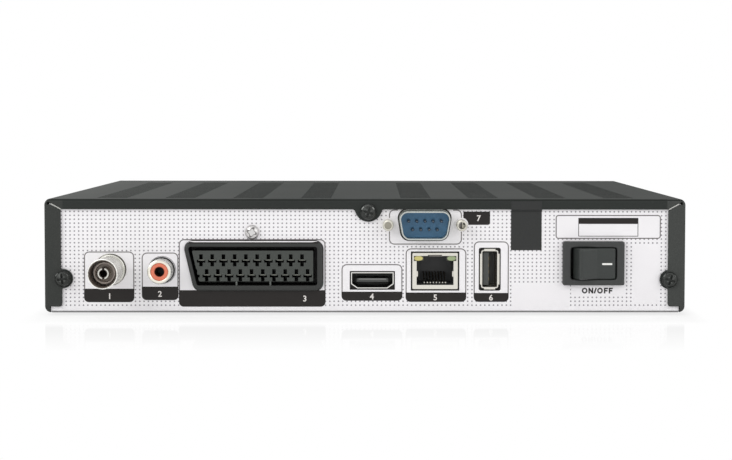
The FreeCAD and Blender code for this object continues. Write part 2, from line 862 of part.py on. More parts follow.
def processor_heatsink():
    """A finned aluminium block on the decoder chip."""
    x, y = on_main_board(processor_place)
    foot = board_top + processor_height
    base_plate = block(around(x, sink_size), around(y, sink_size), (foot, foot + sink_base))
    pitch = (sink_size - sink_fin) / (sink_fins - 1)
    first = x - sink_size / 2
    fins = [block((first + i * pitch, first + i * pitch + sink_fin), around(y, sink_size),
                  (foot + sink_base, foot + sink_height)) for i in range(sink_fins)]
    return fused([base_plate] + fins)


def memory_chips():
    """Two memory chips beside the decoder and one flash chip in front of it."""
    x, y = on_main_board(processor_place)
    beside, before = x - sink_size / 2 - memory_gap, y + sink_size / 2 + flash_gap
    chips = [on_board(around(beside, memory_size[0]), around(middle, memory_size[1]), memory_size[2])
             for middle in around(y, memory_spacing)]
    return group(chips + [on_board(around(x, flash_size[0]), around(before, flash_size[1]), flash_size[2])])


def tuner_can():
    """The screened tuner behind the aerial socket, with a lid folded over its four walls."""
    x = around(aerial_x, tuner_width)
    y = (panel_in + tuner_gap, panel_in + tuner_gap + tuner_depth)
    top = board_top + tuner_height
    walls = on_board(x, y, tuner_height - tuner_skin)
    lid = block((x[0] - tuner_skin, x[1] + tuner_skin), (y[0], y[1] + tuner_skin), (top - tuner_lid, top))
    dimples = [cylinder(1.5, (aerial_x, y[0] + place * tuner_depth, top - tuner_skin),
                        (aerial_x, y[0] + place * tuner_depth, top + 1)) for place in (0.25, 0.5, 0.75)]
    return cut(fused([walls, lid]), dimples)


def small_capacitors():
    """The small electrolytic capacitors of the main board."""
    return group([capacitor(*on_main_board((x, y)), radius, height)
                  for x, y, radius, height in small_capacitor_places])


def card_reader():
    """The card socket: a flat frame over the board with a slot facing the fascia."""
    y = (board_front - card_reader_depth, board_front)
    body = on_board(around(card_x, card_slot_width + 2 * card_reader_rim), y, card_reader_tall)
    slot = block(around(card_x, card_slot_width - 1), (y[0] + 2 * card_reader_rim, y[1] + 1),
                 around(card_slot_z, card_thick))
    window = block(around(card_x, card_reader_window), around(sum(y) / 2, card_reader_window),
                   (card_slot_z, board_top + card_reader_tall + 1))
    return cut(body, [slot, window])


# ================================================================ power supply
def on_power_board(place):
    """A place on the power board, given from its middle and its rear edge."""
    return sum(power_board_x) / 2 + place[0], board_rear + place[1]


def transformer_core():
    """The ferrite core: two outer legs, a yoke on top and below, and a centre leg inside the winding."""
    x, y = on_power_board(transformer_place)
    z = (board_top + core_stand, board_top + core_stand + core_height)
    outline = block(around(x, core_width + 2 * core_leg), around(y, core_depth / 2), z)
    room = block(around(x, core_width), around(y, core_depth), (z[0] + core_leg, z[1] - core_leg))
    centre = cylinder(core_leg, (x, y, z[0] + core_leg), (x, y, z[1] - core_leg))
    return fused([cut(outline, [room]), centre])


def transformer_winding():
    """The taped winding on its bobbin, standing on the board by two pin blocks."""
    x, y = on_power_board(transformer_place)
    low = board_top + core_stand + core_leg
    high = low + core_height - 2 * core_leg
    coil = cylinder(core_width / 2 - 1, (x, y, low + press_gap), (x, y, high - press_gap))
    foot_spacing = core_depth / 2 + bobbin_foot + 2 * press_gap + 0.5
    feet = [on_board(around(x, core_width - 2), around(middle, bobbin_foot), low + 3 - board_top)
            for middle in around(y, foot_spacing)]
    bore = cylinder(core_leg + press_gap, (x, y, low - 1), (x, y, high + 1))
    return cut(fused([coil] + feet), [bore])


def mains_fuse():
    """A glass fuse lying between two clips."""
    x, y = on_power_board(fuse_place)
    z = board_top + fuse_stand + fuse_radius
    ends = (y - fuse_length, y + fuse_length)
    glass = cylinder(fuse_radius - fuse_cap_wall, (x, y - fuse_length / 2, z), (x, y + fuse_length / 2, z))
    clips, caps = [], []
    for side in (-1, 1):
        tip = y + side * fuse_length / 2
        clip_y = around(tip - side * fuse_cap_length / 2, fuse_clip_depth)
        clip = on_board(around(x, 2 * fuse_radius + 1.2), clip_y, 2 * fuse_radius + 1)
        clips.append(cut(clip, [cylinder(fuse_radius, (x, ends[0], z), (x, ends[1], z)),
                                block(around(x, 2 * fuse_radius - 0.8), ends, (z, z + 2 * fuse_radius))]))
        cap = cylinder(fuse_radius - press_gap, (x, tip, z), (x, tip - side * fuse_cap_length, z))
        caps.append(cut(cap, [cylinder(fuse_radius - fuse_cap_wall, (x, ends[0], z), (x, ends[1], z))]))
    return group([glass] + clips + caps)


def filter_choke():
    """The common-mode choke: a frame core with two windings side by side."""
    x, y = on_power_board(choke_place)
    width, depth, height = choke_size
    room_width, bottom, top = choke_room
    frame = on_board(around(x, width), around(y, depth), height)
    room = block(around(x, room_width), around(y, depth + 2), (board_top + bottom, board_top + top))
    level = (board_top + bottom + 0.2, board_top + top - 0.2)
    windings = [block(around(x, room_width - 0.4), around(middle, choke_winding), level)
                for middle in around(y, 2 * choke_winding + 0.4)]
    return group([cut(frame, [room])] + windings)


def filter_capacitor():
    """The boxed mains filter capacitor."""
    x, y = on_power_board(filter_capacitor_place)
    width, depth, height = filter_capacitor_size
    return rounded(on_board(around(x, width), around(y, depth), height), 1.0, along(Z_AXIS))


def bulk_capacitors():
    """The mains reservoir capacitor and the output capacitors."""
    x, y = on_power_board(outputs_place)
    small = [capacitor(x + i * outputs_spacing, y, output_radius, output_height) for i in range(outputs)]
    return group([capacitor(*on_power_board(bulk_place), bulk_radius, bulk_height)] + small)


def power_heatsink():
    """An aluminium plate, folded over at the top, that the switching transistor is clipped to."""
    left = power_board_x[1] - plate_inset
    y = (board_front - plate_margin - plate_depth, board_front - plate_margin)
    plate = on_board((left, left + plate_thick), y, plate_height)
    top = board_top + plate_height
    fold = block((left - plate_fold, left), y, (top - plate_thick, top))
    return fused([plate, fold])


# ================================================================ aerial socket
def aerial_barrel():
    """The plated barrel with its collar, open at the front."""
    tip, foot = panel_y - aerial_stand, panel_in + tuner_gap
    bore = aerial_radius - aerial_wall
    collar = panel_y - aerial_collar_stand
    profile = [(bore, tip + 0.2), (bore + 0.1, tip), (aerial_radius - 0.2, tip), (aerial_radius, tip + 0.25),
               (aerial_radius, collar), (aerial_collar - 0.2, collar), (aerial_collar, collar + 0.2),
               (aerial_collar, foot), (bore, foot)]
    return turned(profile, aerial_x, aerial_z)


def aerial_insulator():
    """The moulded core of the aerial socket, with a raised ring round the contact."""
    tip, foot = panel_y - aerial_stand, panel_in + tuner_gap
    outer = aerial_radius - aerial_wall - press_gap
    face = tip + aerial_core_depth
    ring = aerial_ring_radius
    hole = aerial_contact_radius + press_gap
    inner, ring_tip = ring - aerial_ring_wall, tip + aerial_ring_depth
    profile = [(hole, face), (inner, face), (inner, ring_tip), (ring, ring_tip), (ring, face), (outer, face),
               (outer, foot), (hole, foot)]
    return turned(profile, aerial_x, aerial_z)


def aerial_contact():
    """The split centre tube that takes the plug's pin."""
    tip, foot = panel_y - aerial_stand + aerial_contact_depth, panel_in + tuner_gap
    x, z = aerial_x, aerial_z
    tube = cut(cylinder(aerial_contact_radius, (x, tip, z), (x, foot, z)),
               [cylinder(aerial_contact_bore, (x, tip - 1, z), (x, foot - 0.8, z))])
    slits = [block(around(x, aerial_slit), (tip - 1, tip + aerial_slit_length), (z, z + 2 * aerial_radius)),
             block(around(x, aerial_slit), (tip - 1, tip + aerial_slit_length), (z - 2 * aerial_radius, z))]
    return cut(tube, slits)


# ================================================================ coaxial audio socket
def coax_barrel():
    """The plated barrel of the coaxial audio socket, with a rolled lip."""
    tip, foot = panel_y - coax_stand, panel_in + sheet_gap
    bore = coax_core_radius
    lip = coax_lip
    collar = panel_y - coax_collar_stand
    profile = [(bore, tip + 0.15), (bore + 0.2, tip), (coax_radius - lip, tip),
               (coax_radius - lip / 4, tip + lip / 3), (coax_radius, tip + lip), (coax_radius, collar),
               (coax_collar, collar), (coax_collar, foot), (bore, foot)]
    return turned(profile, coax_x, coax_z)


def coax_insulator():
    """The coloured insert with the hole for the plug's pin."""
    tip, foot = panel_y - coax_stand + coax_core_recess, panel_in + sheet_gap
    outer = coax_core_radius - press_gap
    profile = [(coax_bore, tip + 0.3), (coax_bore + 0.3, tip), (outer - 0.2, tip), (outer, tip + 0.2),
               (outer, foot), (coax_bore, foot)]
    return turned(profile, coax_x, coax_z)


def coax_body():
    """The moulded foot of the coaxial socket on the main board."""
    y = (panel_in + sheet_gap, panel_in + sheet_gap + coax_body_depth)
    body = block(around(coax_x, coax_body_width), y, (board_top, coax_z + coax_radius + 1))
    return rounded(body, 0.6, along(Y_AXIS))


# ================================================================ 21-way socket
def av_frame():
    """The rim and the back of the 21-way socket, with the groove that takes the plug's shroud."""
    front, back = panel_y - av_stand, panel_y - av_stand + av_depth
    bottom = av_z - av_tall / 2
    body = rounded(av_outline(0, (front, back)), av_rim_round, at_depth(front))
    groove = av_outline(av_rim, (front - 1, front + av_groove_depth))
    ribs = [block(around(av_x + offset, av_rib), (front + av_rib_recess, front + av_groove_depth),
                  (bottom + av_rim - 0.2, bottom + av_rim + av_groove)) for offset in av_rib_offsets]
    foot = block((av_x - av_width / 2 + 2 * av_corner, av_x + av_width / 2 - av_corner), (panel_in + 2, back),
                 (board_top, bottom + 1))
    return fused([cut(body, [groove]), foot] + ribs)


def av_slot_places():
    """Where the contacts go: ten above, ten below half a pitch over, and one for the screen."""
    level = av_z + av_row_gap / 2 - av_row_drop
    upper = [(av_x - av_first_slot + i * av_pitch, level) for i in range(av_slots)]
    lower = [(x + av_pitch / 2, z - av_row_gap) for x, z in upper]
    screen = (lower[0][0] - av_pitch, lower[0][1])
    return upper + lower + [screen]


def av_block():
    """The contact block of the 21-way socket, with a cross-shaped slot for each contact."""
    front = panel_y - av_stand + av_block_recess
    body = av_outline(av_rim + av_groove, (front, panel_y - av_stand + av_groove_depth))
    y = (front - 1, front + av_slot_depth)
    slots = []
    for x, z in av_slot_places():
        slots.append(block(around(x, av_slot_stem), y, around(z, av_slot_tall)))
        slots.append(block(around(x, av_slot_wide), y, around(z - av_slot_arm_drop, av_slot_arm)))
    return cut(body, slots)


def av_contacts():
    """A blade in each slot of the 21-way socket but the screen's, which is the bare notch on the left."""
    front = panel_y - av_stand + av_block_recess
    blades = []
    for x, z in av_slot_places()[:-1]:
        top = z - av_slot_arm_drop + av_slot_arm / 2
        blades.append(block(around(x, av_slot_wide - 2 * av_blade),
                            (front + av_blade_recess, front + av_slot_depth), (top - av_blade, top)))
    return group(blades)


# ================================================================ digital video socket
def video_shell():
    """The folded screen of the digital video socket."""
    y = (panel_y + video_recess, panel_y + video_recess + video_depth)
    bottom = video_z - video_tall / 2
    room = video_outline(thin_shell, (y[0] - 1, y[1] - 1))
    feet = [block(around(x, shell_foot), (y[1] - 4, y[1] - 2), (board_top, bottom + video_chamfer_z))
            for x in around(video_x, video_width - 1.5 * shell_foot)]
    return cut(fused([video_outline(0, y)] + feet), [room])


def video_tongue():
    """The contact tongue and the moulding behind it."""
    y = (panel_y + video_recess, panel_y + video_recess + video_depth)
    tongue = block(around(video_x, video_tongue_width), (y[0] + video_tongue_recess, y[1] - 1),
                   around(video_z - 0.1, video_tongue_tall))
    back = video_outline(thin_shell + press_gap, (y[1] - 3, y[1] - 1 - press_gap))
    return fused([tongue, back])


# ================================================================ network socket
def net_limits():
    """The network socket's outer limits in x and z."""
    return around(net_x, net_width), around(net_z, net_tall)


def net_face():
    """The opening of the network socket: cavity, latch notch and the two light windows."""
    x, z = net_limits()
    floor = z[0] + net_cavity_floor
    top = floor + net_cavity_tall
    y = (panel_y - 1, panel_y + net_cavity_depth)
    return [block(around(net_x, net_cavity_width), y, (floor, top + net_light_tall)),
            block((x[0] + net_light_margin, x[1] - net_light_margin), y, (top, top + net_light_tall)),
            block(around(net_x, net_notch_width), y, (top, top + net_light_tall + net_notch_tall))]


def net_shell():
    """The screen of the network socket: a five-sided can with a cut-out front."""
    x, z = net_limits()
    y = (panel_y, panel_y + net_depth)
    can = rounded(block(x, y, z), 0.4, along(Y_AXIS))
    room = block((x[0] + thin_shell, x[1] - thin_shell), (y[0] + thin_shell, y[1] + 1),
                 (z[0] - 1, z[1] - thin_shell))
    return cut(can, [room] + net_face())


def net_insert():
    """The black moulding inside the network socket, with the cavity that takes the plug and a foot behind."""
    x, z = net_limits()
    gap = thin_shell + press_gap
    inside, back = (x[0] + gap, x[1] - gap), panel_y + net_depth - 0.5
    body = fused([block(inside, (panel_y + gap, back), (z[0], z[1] - gap)),
                  block(inside, (board_rear, back), (board_top, z[0] + 0.5))])
    return cut(body, net_face())


def net_contact_wires():
    """Eight sloping contact wires over the floor of the network socket."""
    floor = net_limits()[1][0] + net_cavity_floor
    y = (panel_y + net_contact_recess, panel_y + net_cavity_depth - 0.5)
    z = (floor + net_contact_rise[0], floor + net_contact_rise[1])
    places = [net_x + (i - (net_contacts - 1) / 2) * net_contact_pitch for i in range(net_contacts)]
    return group([cylinder(net_contact_radius, (x, y[0], z[0]), (x, y[1], z[1])) for x in places])


def net_lights():
    """The two status lights in the upper corners of the network socket."""
    x, z = net_limits()
    low = z[0] + net_cavity_floor + net_cavity_tall + press_gap
    margin = net_light_margin + press_gap
    lights = [block(limits, (panel_y + 0.5, panel_y + net_cavity_depth - press_gap),
                    (low, low + net_light_tall - 2 * press_gap))
              for limits in ((x[0] + margin, x[0] + margin + net_light_width),
                             (x[1] - margin - net_light_width, x[1] - margin))]
    return group([rounded(light, 0.4, along(Y_AXIS)) for light in lights])


# ================================================================ serial bus socket
def bus_shell():
    """The upright screen of the bus socket, with a flared lip at each end of its mouth."""
    x, z = around(bus_x, bus_width), around(bus_z, bus_tall)
    y = (panel_y, panel_y + bus_depth)
    tube = cut(slab(x, y, z, 0.7), [slab((x[0] + thin_shell, x[1] - thin_shell), (y[0] - 1, y[1] - 1),
                                         (z[0] + thin_shell, z[1] - thin_shell), 0.4)])
    lips = [lip_strip(Vector(x[0] + 1.0, y[0], edge), Vector(x[1] - x[0] - 2.0, 0, 0), side)
            for edge, side in ((z[0], Vector(0, 0, -1)), (z[1], Vector(0, 0, 1)))]
    feet = [block(around(bus_x, 3.0), (y[1] - 5, y[1] - 2), (board_top, z[0] + thin_shell))]
    return fused([tube] + lips + feet)


def lip_strip(start, run, outward):
    """A narrow flared strip along one end of the bus socket's mouth."""
    back = Vector(0, 1.6, 0)
    inner = -thin_shell
    profile = [start + outward * inner, start + outward * bus_lip,
               start + outward * (bus_lip * 0.9) + back * 0.2, start + back, start + outward * inner + back]
    return Part.Face(Part.makePolygon(profile + profile[:1])).extrude(run)


def bus_tongue():
    """The contact tongue, standing on edge on the left of the socket."""
    x, z = around(bus_x - bus_tongue_offset, bus_tongue_thick), around(bus_z, bus_tongue_tall)
    y = (panel_y + bus_tongue_recess, panel_y + bus_depth - 1)
    inner_x = around(bus_x, bus_width - 2 * thin_shell - 2 * press_gap)
    inner_z = around(bus_z, bus_tall - 2 * thin_shell - 2 * press_gap)
    back = slab(inner_x, (y[1] - 3, y[1] - press_gap), inner_z, 0.35)
    return fused([block(x, (y[0], y[1] - press_gap), z), back])


# ================================================================ nine-way serial socket
def serial_shell():
    """The flange plate behind the panel and the drawn D that stands out through it."""
    mouth = panel_y - serial_stand
    plate = slab(around(serial_x, serial_plate_width), (panel_in, panel_in + serial_wall * 2),
                 around(serial_z, serial_plate_tall), 1.5)
    drawn = serial_outline(0, (mouth, panel_in + serial_wall * 2))
    z = serial_z
    holes = [cylinder(jack_bore + slip, (x, panel_in - 1, z), (x, panel_in + 2, z))
             for x in around(serial_x, jack_spacing)]
    return cut(fused([plate, drawn]), [serial_outline(serial_wall, (mouth - 1, panel_in + 2))] + holes)


def serial_insulator():
    """The blue moulding that carries the pins."""
    face = panel_y - serial_stand + serial_well
    front = serial_outline(serial_wall + press_gap, (face, panel_in + serial_wall * 2 + 0.1))
    back = block(around(serial_x, serial_width + 1.2),
                 (panel_in + serial_wall * 2 + press_gap, panel_in + serial_body_depth),
                 around(serial_z, serial_tall + 1))
    holes = [cylinder(serial_pin + press_gap, (x, face - 1, z), (x, serial_tail, z))
             for x, z in serial_pin_places()]
    return cut(fused([front, back]), holes)


def serial_pin_places():
    """Where the pins go: the longer row above."""
    left = serial_x - (serial_pins_upper - 1) / 2 * serial_pin_pitch
    upper = [(left + i * serial_pin_pitch, serial_z + serial_row_gap / 2) for i in range(serial_pins_upper)]
    lower = [(x + serial_pin_pitch / 2, z - serial_row_gap) for x, z in upper[:-1]]
    return upper + lower


def serial_pins():
    """The nine pins, domed at the tip, with their tails behind the moulding."""
    mouth, tail = panel_y - serial_stand + serial_pin_recess, serial_tail
    profile = [(0, mouth), (serial_pin * 0.55, mouth), (serial_pin, mouth + serial_pin), (serial_pin, tail),
               (0, tail)]
    return group([turned(profile, x, z) for x, z in serial_pin_places()])


def serial_jacks():
    """The two round threaded posts that clamp the socket to the panel and take the plug's screws."""
    posts = []
    z = serial_z
    tip, nut_y = panel_y - jack_stand, panel_in + serial_wall * 2
    shank_radius = jack_bore + slip - press_gap
    for x in around(serial_x, jack_spacing):
        edge = jack_radius - jack_bore
        profile = [(jack_bore, tip), (jack_radius - edge / 2, tip), (jack_radius, tip + edge / 2),
                   (jack_radius, panel_y), (shank_radius, panel_y), (shank_radius, panel_in + jack_shank),
                   (0, panel_in + jack_shank), (0, tip + jack_depth), (jack_bore, tip + jack_depth)]
        nut = cut(cylinder(jack_nut_radius, (x, nut_y, z), (x, nut_y + jack_nut_thick, z)),
                  [cylinder(shank_radius, (x, nut_y - 1, z), (x, nut_y + jack_nut_thick + 1, z))])
        posts += [turned(profile, x, z), nut]
    return group(posts)


# ================================================================ leads between the boards
def bent_path(points, radius):
    """Straight runs through the points, joined by tangent arcs."""
    edges = []
    start = points[0]
    for before, corner, after in zip(points, points[1:], points[2:]):
        inward, outward = (before - corner).normalize(), (after - corner).normalize()
        half_turn = inward.getAngle(outward) / 2
        back = radius / math.tan(half_turn)
        middle = corner + (inward + outward).normalize() * (radius / math.sin(half_turn) - radius)
        arc_start, arc_end = corner + inward * back, corner + outward * back
        edges.append(Part.LineSegment(start, arc_start).toShape())
        edges.append(Part.Arc(arc_start, middle, arc_end).toShape())
        start = arc_end
    edges.append(Part.LineSegment(start, points[-1]).toShape())
    return Part.Wire(edges)


def ribbon(x, points):
    """A flat ribbon cable: a strip along (y, z) points with round bends, as wide as its x limits."""
    centre = [Vector(x[0], y, z) for y, z in points]
    path = bent_path(centre, ribbon_bend)
    start = centre[0]
    along_path = (centre[1] - centre[0]).normalize()
    side = along_path.cross(X_AXIS) * (ribbon_thick / 2)
    width = Vector(x[1] - x[0], 0, 0)
    corners = [start + side, start - side, start - side + width, start + side + width]
    return path.makePipeShell([Part.makePolygon(corners + corners[:1])], True, False, 2)


def ribbon_cables():
    """The ribbon from the serial socket down to the main board, and the one up to the front board."""
    z = serial_z
    top = board_top + header_height
    level = top + front_lead_rise
    serial = ribbon(around(serial_x, ribbon_width),
                    [(serial_tail, z), (serial_header_y, z), (serial_header_y, top)])
    front = ribbon(around(front_lead_x, ribbon_width),
                   [(front_header_y, top), (front_header_y, level), (front_board_y[0], level)])
    return group([serial, front])


def wire_headers():
    """The white headers of both ribbons and of the supply harness."""
    width = ribbon_width + 2 * header_margin
    ribbons = [on_board(around(x, width), around(y, header_depth), header_height)
               for x, y in ((serial_x, serial_header_y), (front_lead_x, front_header_y))]
    supply = [on_board(around(x, header_depth), around(harness_y, harness_header_depth), header_height)
              for x in harness_x]
    return group(ribbons + supply)


def wire(points, radius, bend):
    """An insulated wire along a list of points."""
    path = bent_path([Vector(*point) for point in points], bend)
    start = Vector(*points[0])
    run = (Vector(*points[1]) - start).normalize()
    across = run.cross(Y_AXIS if abs(run.dot(Y_AXIS)) < 0.5 else X_AXIS) * radius
    turns = [FreeCAD.Rotation(run, 360 * i / wire_sides) for i in range(wire_sides)]
    corners = [start + turn.multVec(across) for turn in turns]
    return path.makePipeShell([Part.makePolygon(corners + corners[:1])], True, False, 2)


def power_harness():
    """Four wires that loop from the power board's header to the main board's."""
    top = board_top + header_height
    level = top + harness_rise
    wires = []
    for i in range(wires_in_harness):
        y = harness_y + (i - (wires_in_harness - 1) / 2) * wire_pitch
        wires.append(wire([(harness_x[0], y, top), (harness_x[0], y, level), (harness_x[1], y, level),
                           (harness_x[1], y, top)], wire_radius, wire_bend))
    return group(wires)


# ================================================================ mains switch
def switch_pivot():
    """The rocker's pivot line, as its x and y."""
    return switch_x, panel_y - bezel_thick + rocker_drop


def switch_body():
    """The switch housing: bezel on the panel, body behind it, snap wings and the rocker's well."""
    x, z = around(switch_x, bezel_width), around(switch_z, bezel_tall)
    face = panel_y - bezel_thick
    bezel = slab(x, (face, panel_y), z, 0.6)
    bezel = rounded(bezel, 0.7, at_depth(face))
    back = panel_y + switch_body_depth
    body = block(around(switch_x, switch_body_width), (panel_y, back),
                 around(switch_z, switch_body_tall))
    well_x = around(switch_x, rocker_length + 2 * rocker_gap)
    well_z = around(switch_z, rocker_tall + 2 * rocker_gap)
    well = slab(well_x, (face - 1, panel_y + rocker_well), well_z, 0.8)
    pivot_x, pivot_y = switch_pivot()
    bearing = cylinder(rocker_pin + rocker_pin_gap, (pivot_x, pivot_y, well_z[0] - rocker_pin_length),
                       (pivot_x, pivot_y, well_z[1] + rocker_pin_length))
    wing_y = (panel_in + slip, panel_in + slip + snap_wing[1])
    wing_spacing = switch_body_tall + snap_wing[0]
    wings = [block(around(switch_x, snap_wing_width), wing_y, around(middle, snap_wing[0] + 0.1))
             for middle in around(switch_z, wing_spacing)]
    housing = cut(fused([bezel, body] + wings), [well, bearing])
    room = (well_x[1] - switch_x + 0.01, well_z[1] - switch_z + 0.01)
    mouth = lambda edge: (at_depth(face)(edge) and abs(edge.BoundBox.Center.x - switch_x) < room[0]
                          and abs(edge.BoundBox.Center.z - switch_z) < room[1])
    return rounded(housing, well_edge, mouth)


def rocker_profile():
    """The rocker seen along its pivot, in the middle position, as (u, v) with v out of the panel."""
    half = rocker_length / 2 - rocker_gap
    reach = math.hypot(half, rocker_drop + rocker_proud)
    pressed = math.atan2(rocker_drop + rocker_proud, half)
    level = pressed + math.radians(rocker_tilt)
    tip = (reach * math.cos(level), reach * math.sin(level))
    valley = tip[1] - tip[0] * math.tan(math.radians(rocker_tilt))
    low = math.radians(rocker_side)
    side = (half * math.cos(low), half * math.sin(low))
    heel = (half * rocker_heel[0], -rocker_heel[1])
    return tip, valley, side, heel


def power_rocker():
    """The rocker in its ON position: the right half pressed level with the bezel, the left half raised."""
    tip, valley, side, heel = rocker_profile()
    web = (rocker_web[0], -rocker_web[1])
    right = [tip, side, heel, web]
    outline = [(0, valley)] + right + [(-u, v) for u, v in reversed(right)]
    z = around(switch_z, rocker_tall)
    pivot_x, pivot_y = switch_pivot()
    points = [Vector(pivot_x + u, pivot_y - v, z[0]) for u, v in outline]
    solid = Part.Face(Part.makePolygon(points + points[:1])).extrude(Vector(0, 0, z[1] - z[0]))
    tips = [pivot_x - tip[0], pivot_x + tip[0]]
    at_tip = lambda edge: along(Z_AXIS)(edge) and min(abs(edge.Vertexes[0].Point.x - x) for x in tips) < 1e-6
    solid = rounded(solid, 1.1, at_tip)
    floor = pivot_y - valley + 0.01
    face_edge = lambda edge: (max(v.Point.y for v in edge.Vertexes) < floor and
                              min(max(abs(v.Point.z - level) for v in edge.Vertexes) for level in z) < 1e-6)
    solid = rounded(solid, rocker_edge, face_edge)
    pin_z = (z[0] - rocker_pin_length + rocker_gap, z[1] + rocker_pin_length - rocker_gap)
    solid = fused([solid, cylinder(rocker_pin, (pivot_x, pivot_y, pin_z[0]), (pivot_x, pivot_y, pin_z[1]))])
    solid.rotate(Vector(pivot_x, pivot_y, 0), Z_AXIS, rocker_tilt)
    return solid


def switch_terminals():
    """Two blade terminals behind the switch."""
    back = panel_y + switch_body_depth
    tip = back + terminal_length
    blades = [block(around(x, terminal_thick), (back, tip), around(switch_z, terminal_width))
              for x in around(switch_x, terminal_spacing)]
    return group([rounded(blade, 0.35, at_depth(tip)) for blade in blades])


def switch_leads():
    """Two insulated leads from the terminals down to the power board."""
    back = panel_y + switch_body_depth + terminal_length
    z = switch_z
    leads = []
    for side in (-1, 1):
        x = switch_x + side * terminal_spacing / 2
        turn = back + lead_reach
        leads.append(wire([(x, back, z), (x, turn, z), (x, turn, board_top)], lead_radius, wire_bend))
    return group(leads)


# ================================================================ fascia
def fascia_outside():
    """The fascia's outer form: rounded ends and a front that bulges towards the middle."""
    half = half_width - fascia_inset
    top = roof - fascia_drop
    end_y = fascia_front - fascia_crown
    left, right = Vector(-half, front_y, base), Vector(half, front_y, base)
    front_left, front_right = Vector(-half, end_y, base), Vector(half, end_y, base)
    crown = Vector(0, fascia_front, base)
    sides = [Part.LineSegment(left, right), Part.LineSegment(right, front_right),
             Part.Arc(front_right, crown, front_left), Part.LineSegment(front_left, left)]
    outline = Part.Wire([side.toShape() for side in sides])
    solid = Part.Face(outline).extrude(Vector(0, 0, top - base))
    at_end = lambda edge: along(Z_AXIS)(edge) and edge.Vertexes[0].Point.y > front_y + 1
    solid = rounded(solid, fascia_corner, at_end)
    long_edge = lambda edge: (at_level(base)(edge) or at_level(top)(edge)) and not at_depth(front_y)(edge)
    return rounded(solid, fascia_edge, long_edge)


def buttons():
    """The middle x of each front button and whether it is round, by name."""
    return {"standby": (standby_x, True), "channel_up": (channel_up_x, False),
            "channel_down": (channel_down_x, False)}


def button_prism(x, round_cap, y, grow):
    """A button's section carried from one y to another, larger all round by grow."""
    z = button_z
    if round_cap:
        return cylinder(standby_radius + grow, (x, y[0], z), (x, y[1], z))
    return slab(around(x, channel_width + 2 * grow), y, around(z, channel_tall + 2 * grow),
                channel_corner + grow)


def window_limits(gap):
    """The display window's limits in x and z, smaller all round by gap."""
    return around(0, window_width - 2 * gap), around(window_middle, window_tall - 2 * gap)


def front_fascia():
    """The moulded front: hollow, with a window seat, button and card openings, bosses and a rear lip."""
    room_x = half_width - fascia_inset - fascia_wall
    room_z = (base + fascia_wall, roof - fascia_drop - fascia_wall)
    room = block((-room_x, room_x), (front_y - 1, front_in), room_z)
    window_x_limits, window_z = window_limits(0)
    seat = slab(window_x_limits, (fascia_front - window_thick, fascia_front + 5), window_z, 1.5)
    through = (front_in - 1, fascia_front + 5)
    display = block(around(display_x, display_width + 1), through, around(window_middle, display_tall + 1))
    receiver = cylinder(receiver_hole, (receiver_x, through[0], window_middle),
                        (receiver_x, through[1], window_middle))
    card = block(around(card_x, card_slot_width), through, around(card_slot_z, card_slot_tall))
    openings = [seat, display, receiver, card]
    openings += [button_prism(x, round_cap, through, button_gap) for x, round_cap in buttons().values()]
    lip_x, lip_z = half_width - sheet - sheet_gap, (base + side_bend + 1, roof - sheet - sheet_gap)
    lip = block((-lip_x, lip_x), (front_y - lip_length, front_y + 1), lip_z)
    lip = cut(rounded(lip, side_bend - sheet, along(Y_AXIS)),
              [block((-lip_x + lip_wall, lip_x - lip_wall), (front_y - lip_length - 1, front_y + 2),
                     (base - 1, roof - sheet - sheet_gap - lip_wall))])
    bosses = [cylinder(boss_radius, (x, front_board_y[1], z), (x, front_in + 0.5, z))
              for x, z in boss_places()]
    shell = cut(fascia_outside(), [room] + openings)
    return fused([shell, lip] + bosses)


def boss_places():
    """The pillars inside the fascia that the front board is screwed to."""
    ends = (front_board_x[0] + 4, front_board_x[1] - 4)
    return [(ends[0], window_middle), (ends[1], window_middle - front_board_tall / 2 + boss_radius + 0.5)]


def display_window():
    """The smoked window, flush with the bulging front."""
    x, z = window_limits(slip / 2)
    return fascia_outside().common(slab(x, (fascia_front - window_thick, fascia_front + 5), z, 1.4))


def front_board():
    """The narrow upright board behind the fascia."""
    return block(front_board_x, front_board_y, around(window_middle, front_board_tall))


def display_module():
    """Four digits in one moulded block."""
    return block(around(display_x, display_width), (front_board_y[1], fascia_front - window_thick - 0.2),
                 around(window_middle, display_tall))


def infrared_receiver():
    """The remote-control receiver: a block with a round lens."""
    width, depth, height = receiver_size
    front = front_board_y[1] + depth
    body = block(around(receiver_x, width), (front_board_y[1], front), around(window_middle, height))
    lens = Part.makeSphere(receiver_lens, Vector(receiver_x, front, window_middle))
    return fused([body, lens])


def tact_switches():
    """The three small press switches on the front board."""
    foot, z = front_board_y[1], button_z
    top = foot + tact_height
    switches = []
    for x, round_cap in buttons().values():
        body = block(around(x, tact_size), (foot, top), around(z, tact_size))
        switches.append(fused([body, cylinder(tact_plunger, (x, foot, z), (x, top + plunger_height, z))]))
    return group(switches)


def front_button(x, round_cap):
    """A cap in its opening, a flange behind the fascia and a stem that reaches the press switch."""
    face = fascia_front + button_proud
    seat = front_in - button_seat_gap
    cap = button_prism(x, round_cap, (seat - 0.01, face), 0)
    cap = rounded(cap, 0.8, at_depth(face))
    flange = button_prism(x, round_cap, (seat - button_flange, seat), button_flange_grow)
    z = button_z
    plunger_top = front_board_y[1] + tact_height + plunger_height
    stem = cylinder(stem_radius, (x, plunger_top + button_travel + 0.1, z), (x, seat - button_flange + 0.1, z))
    return fused([cap, flange, stem])


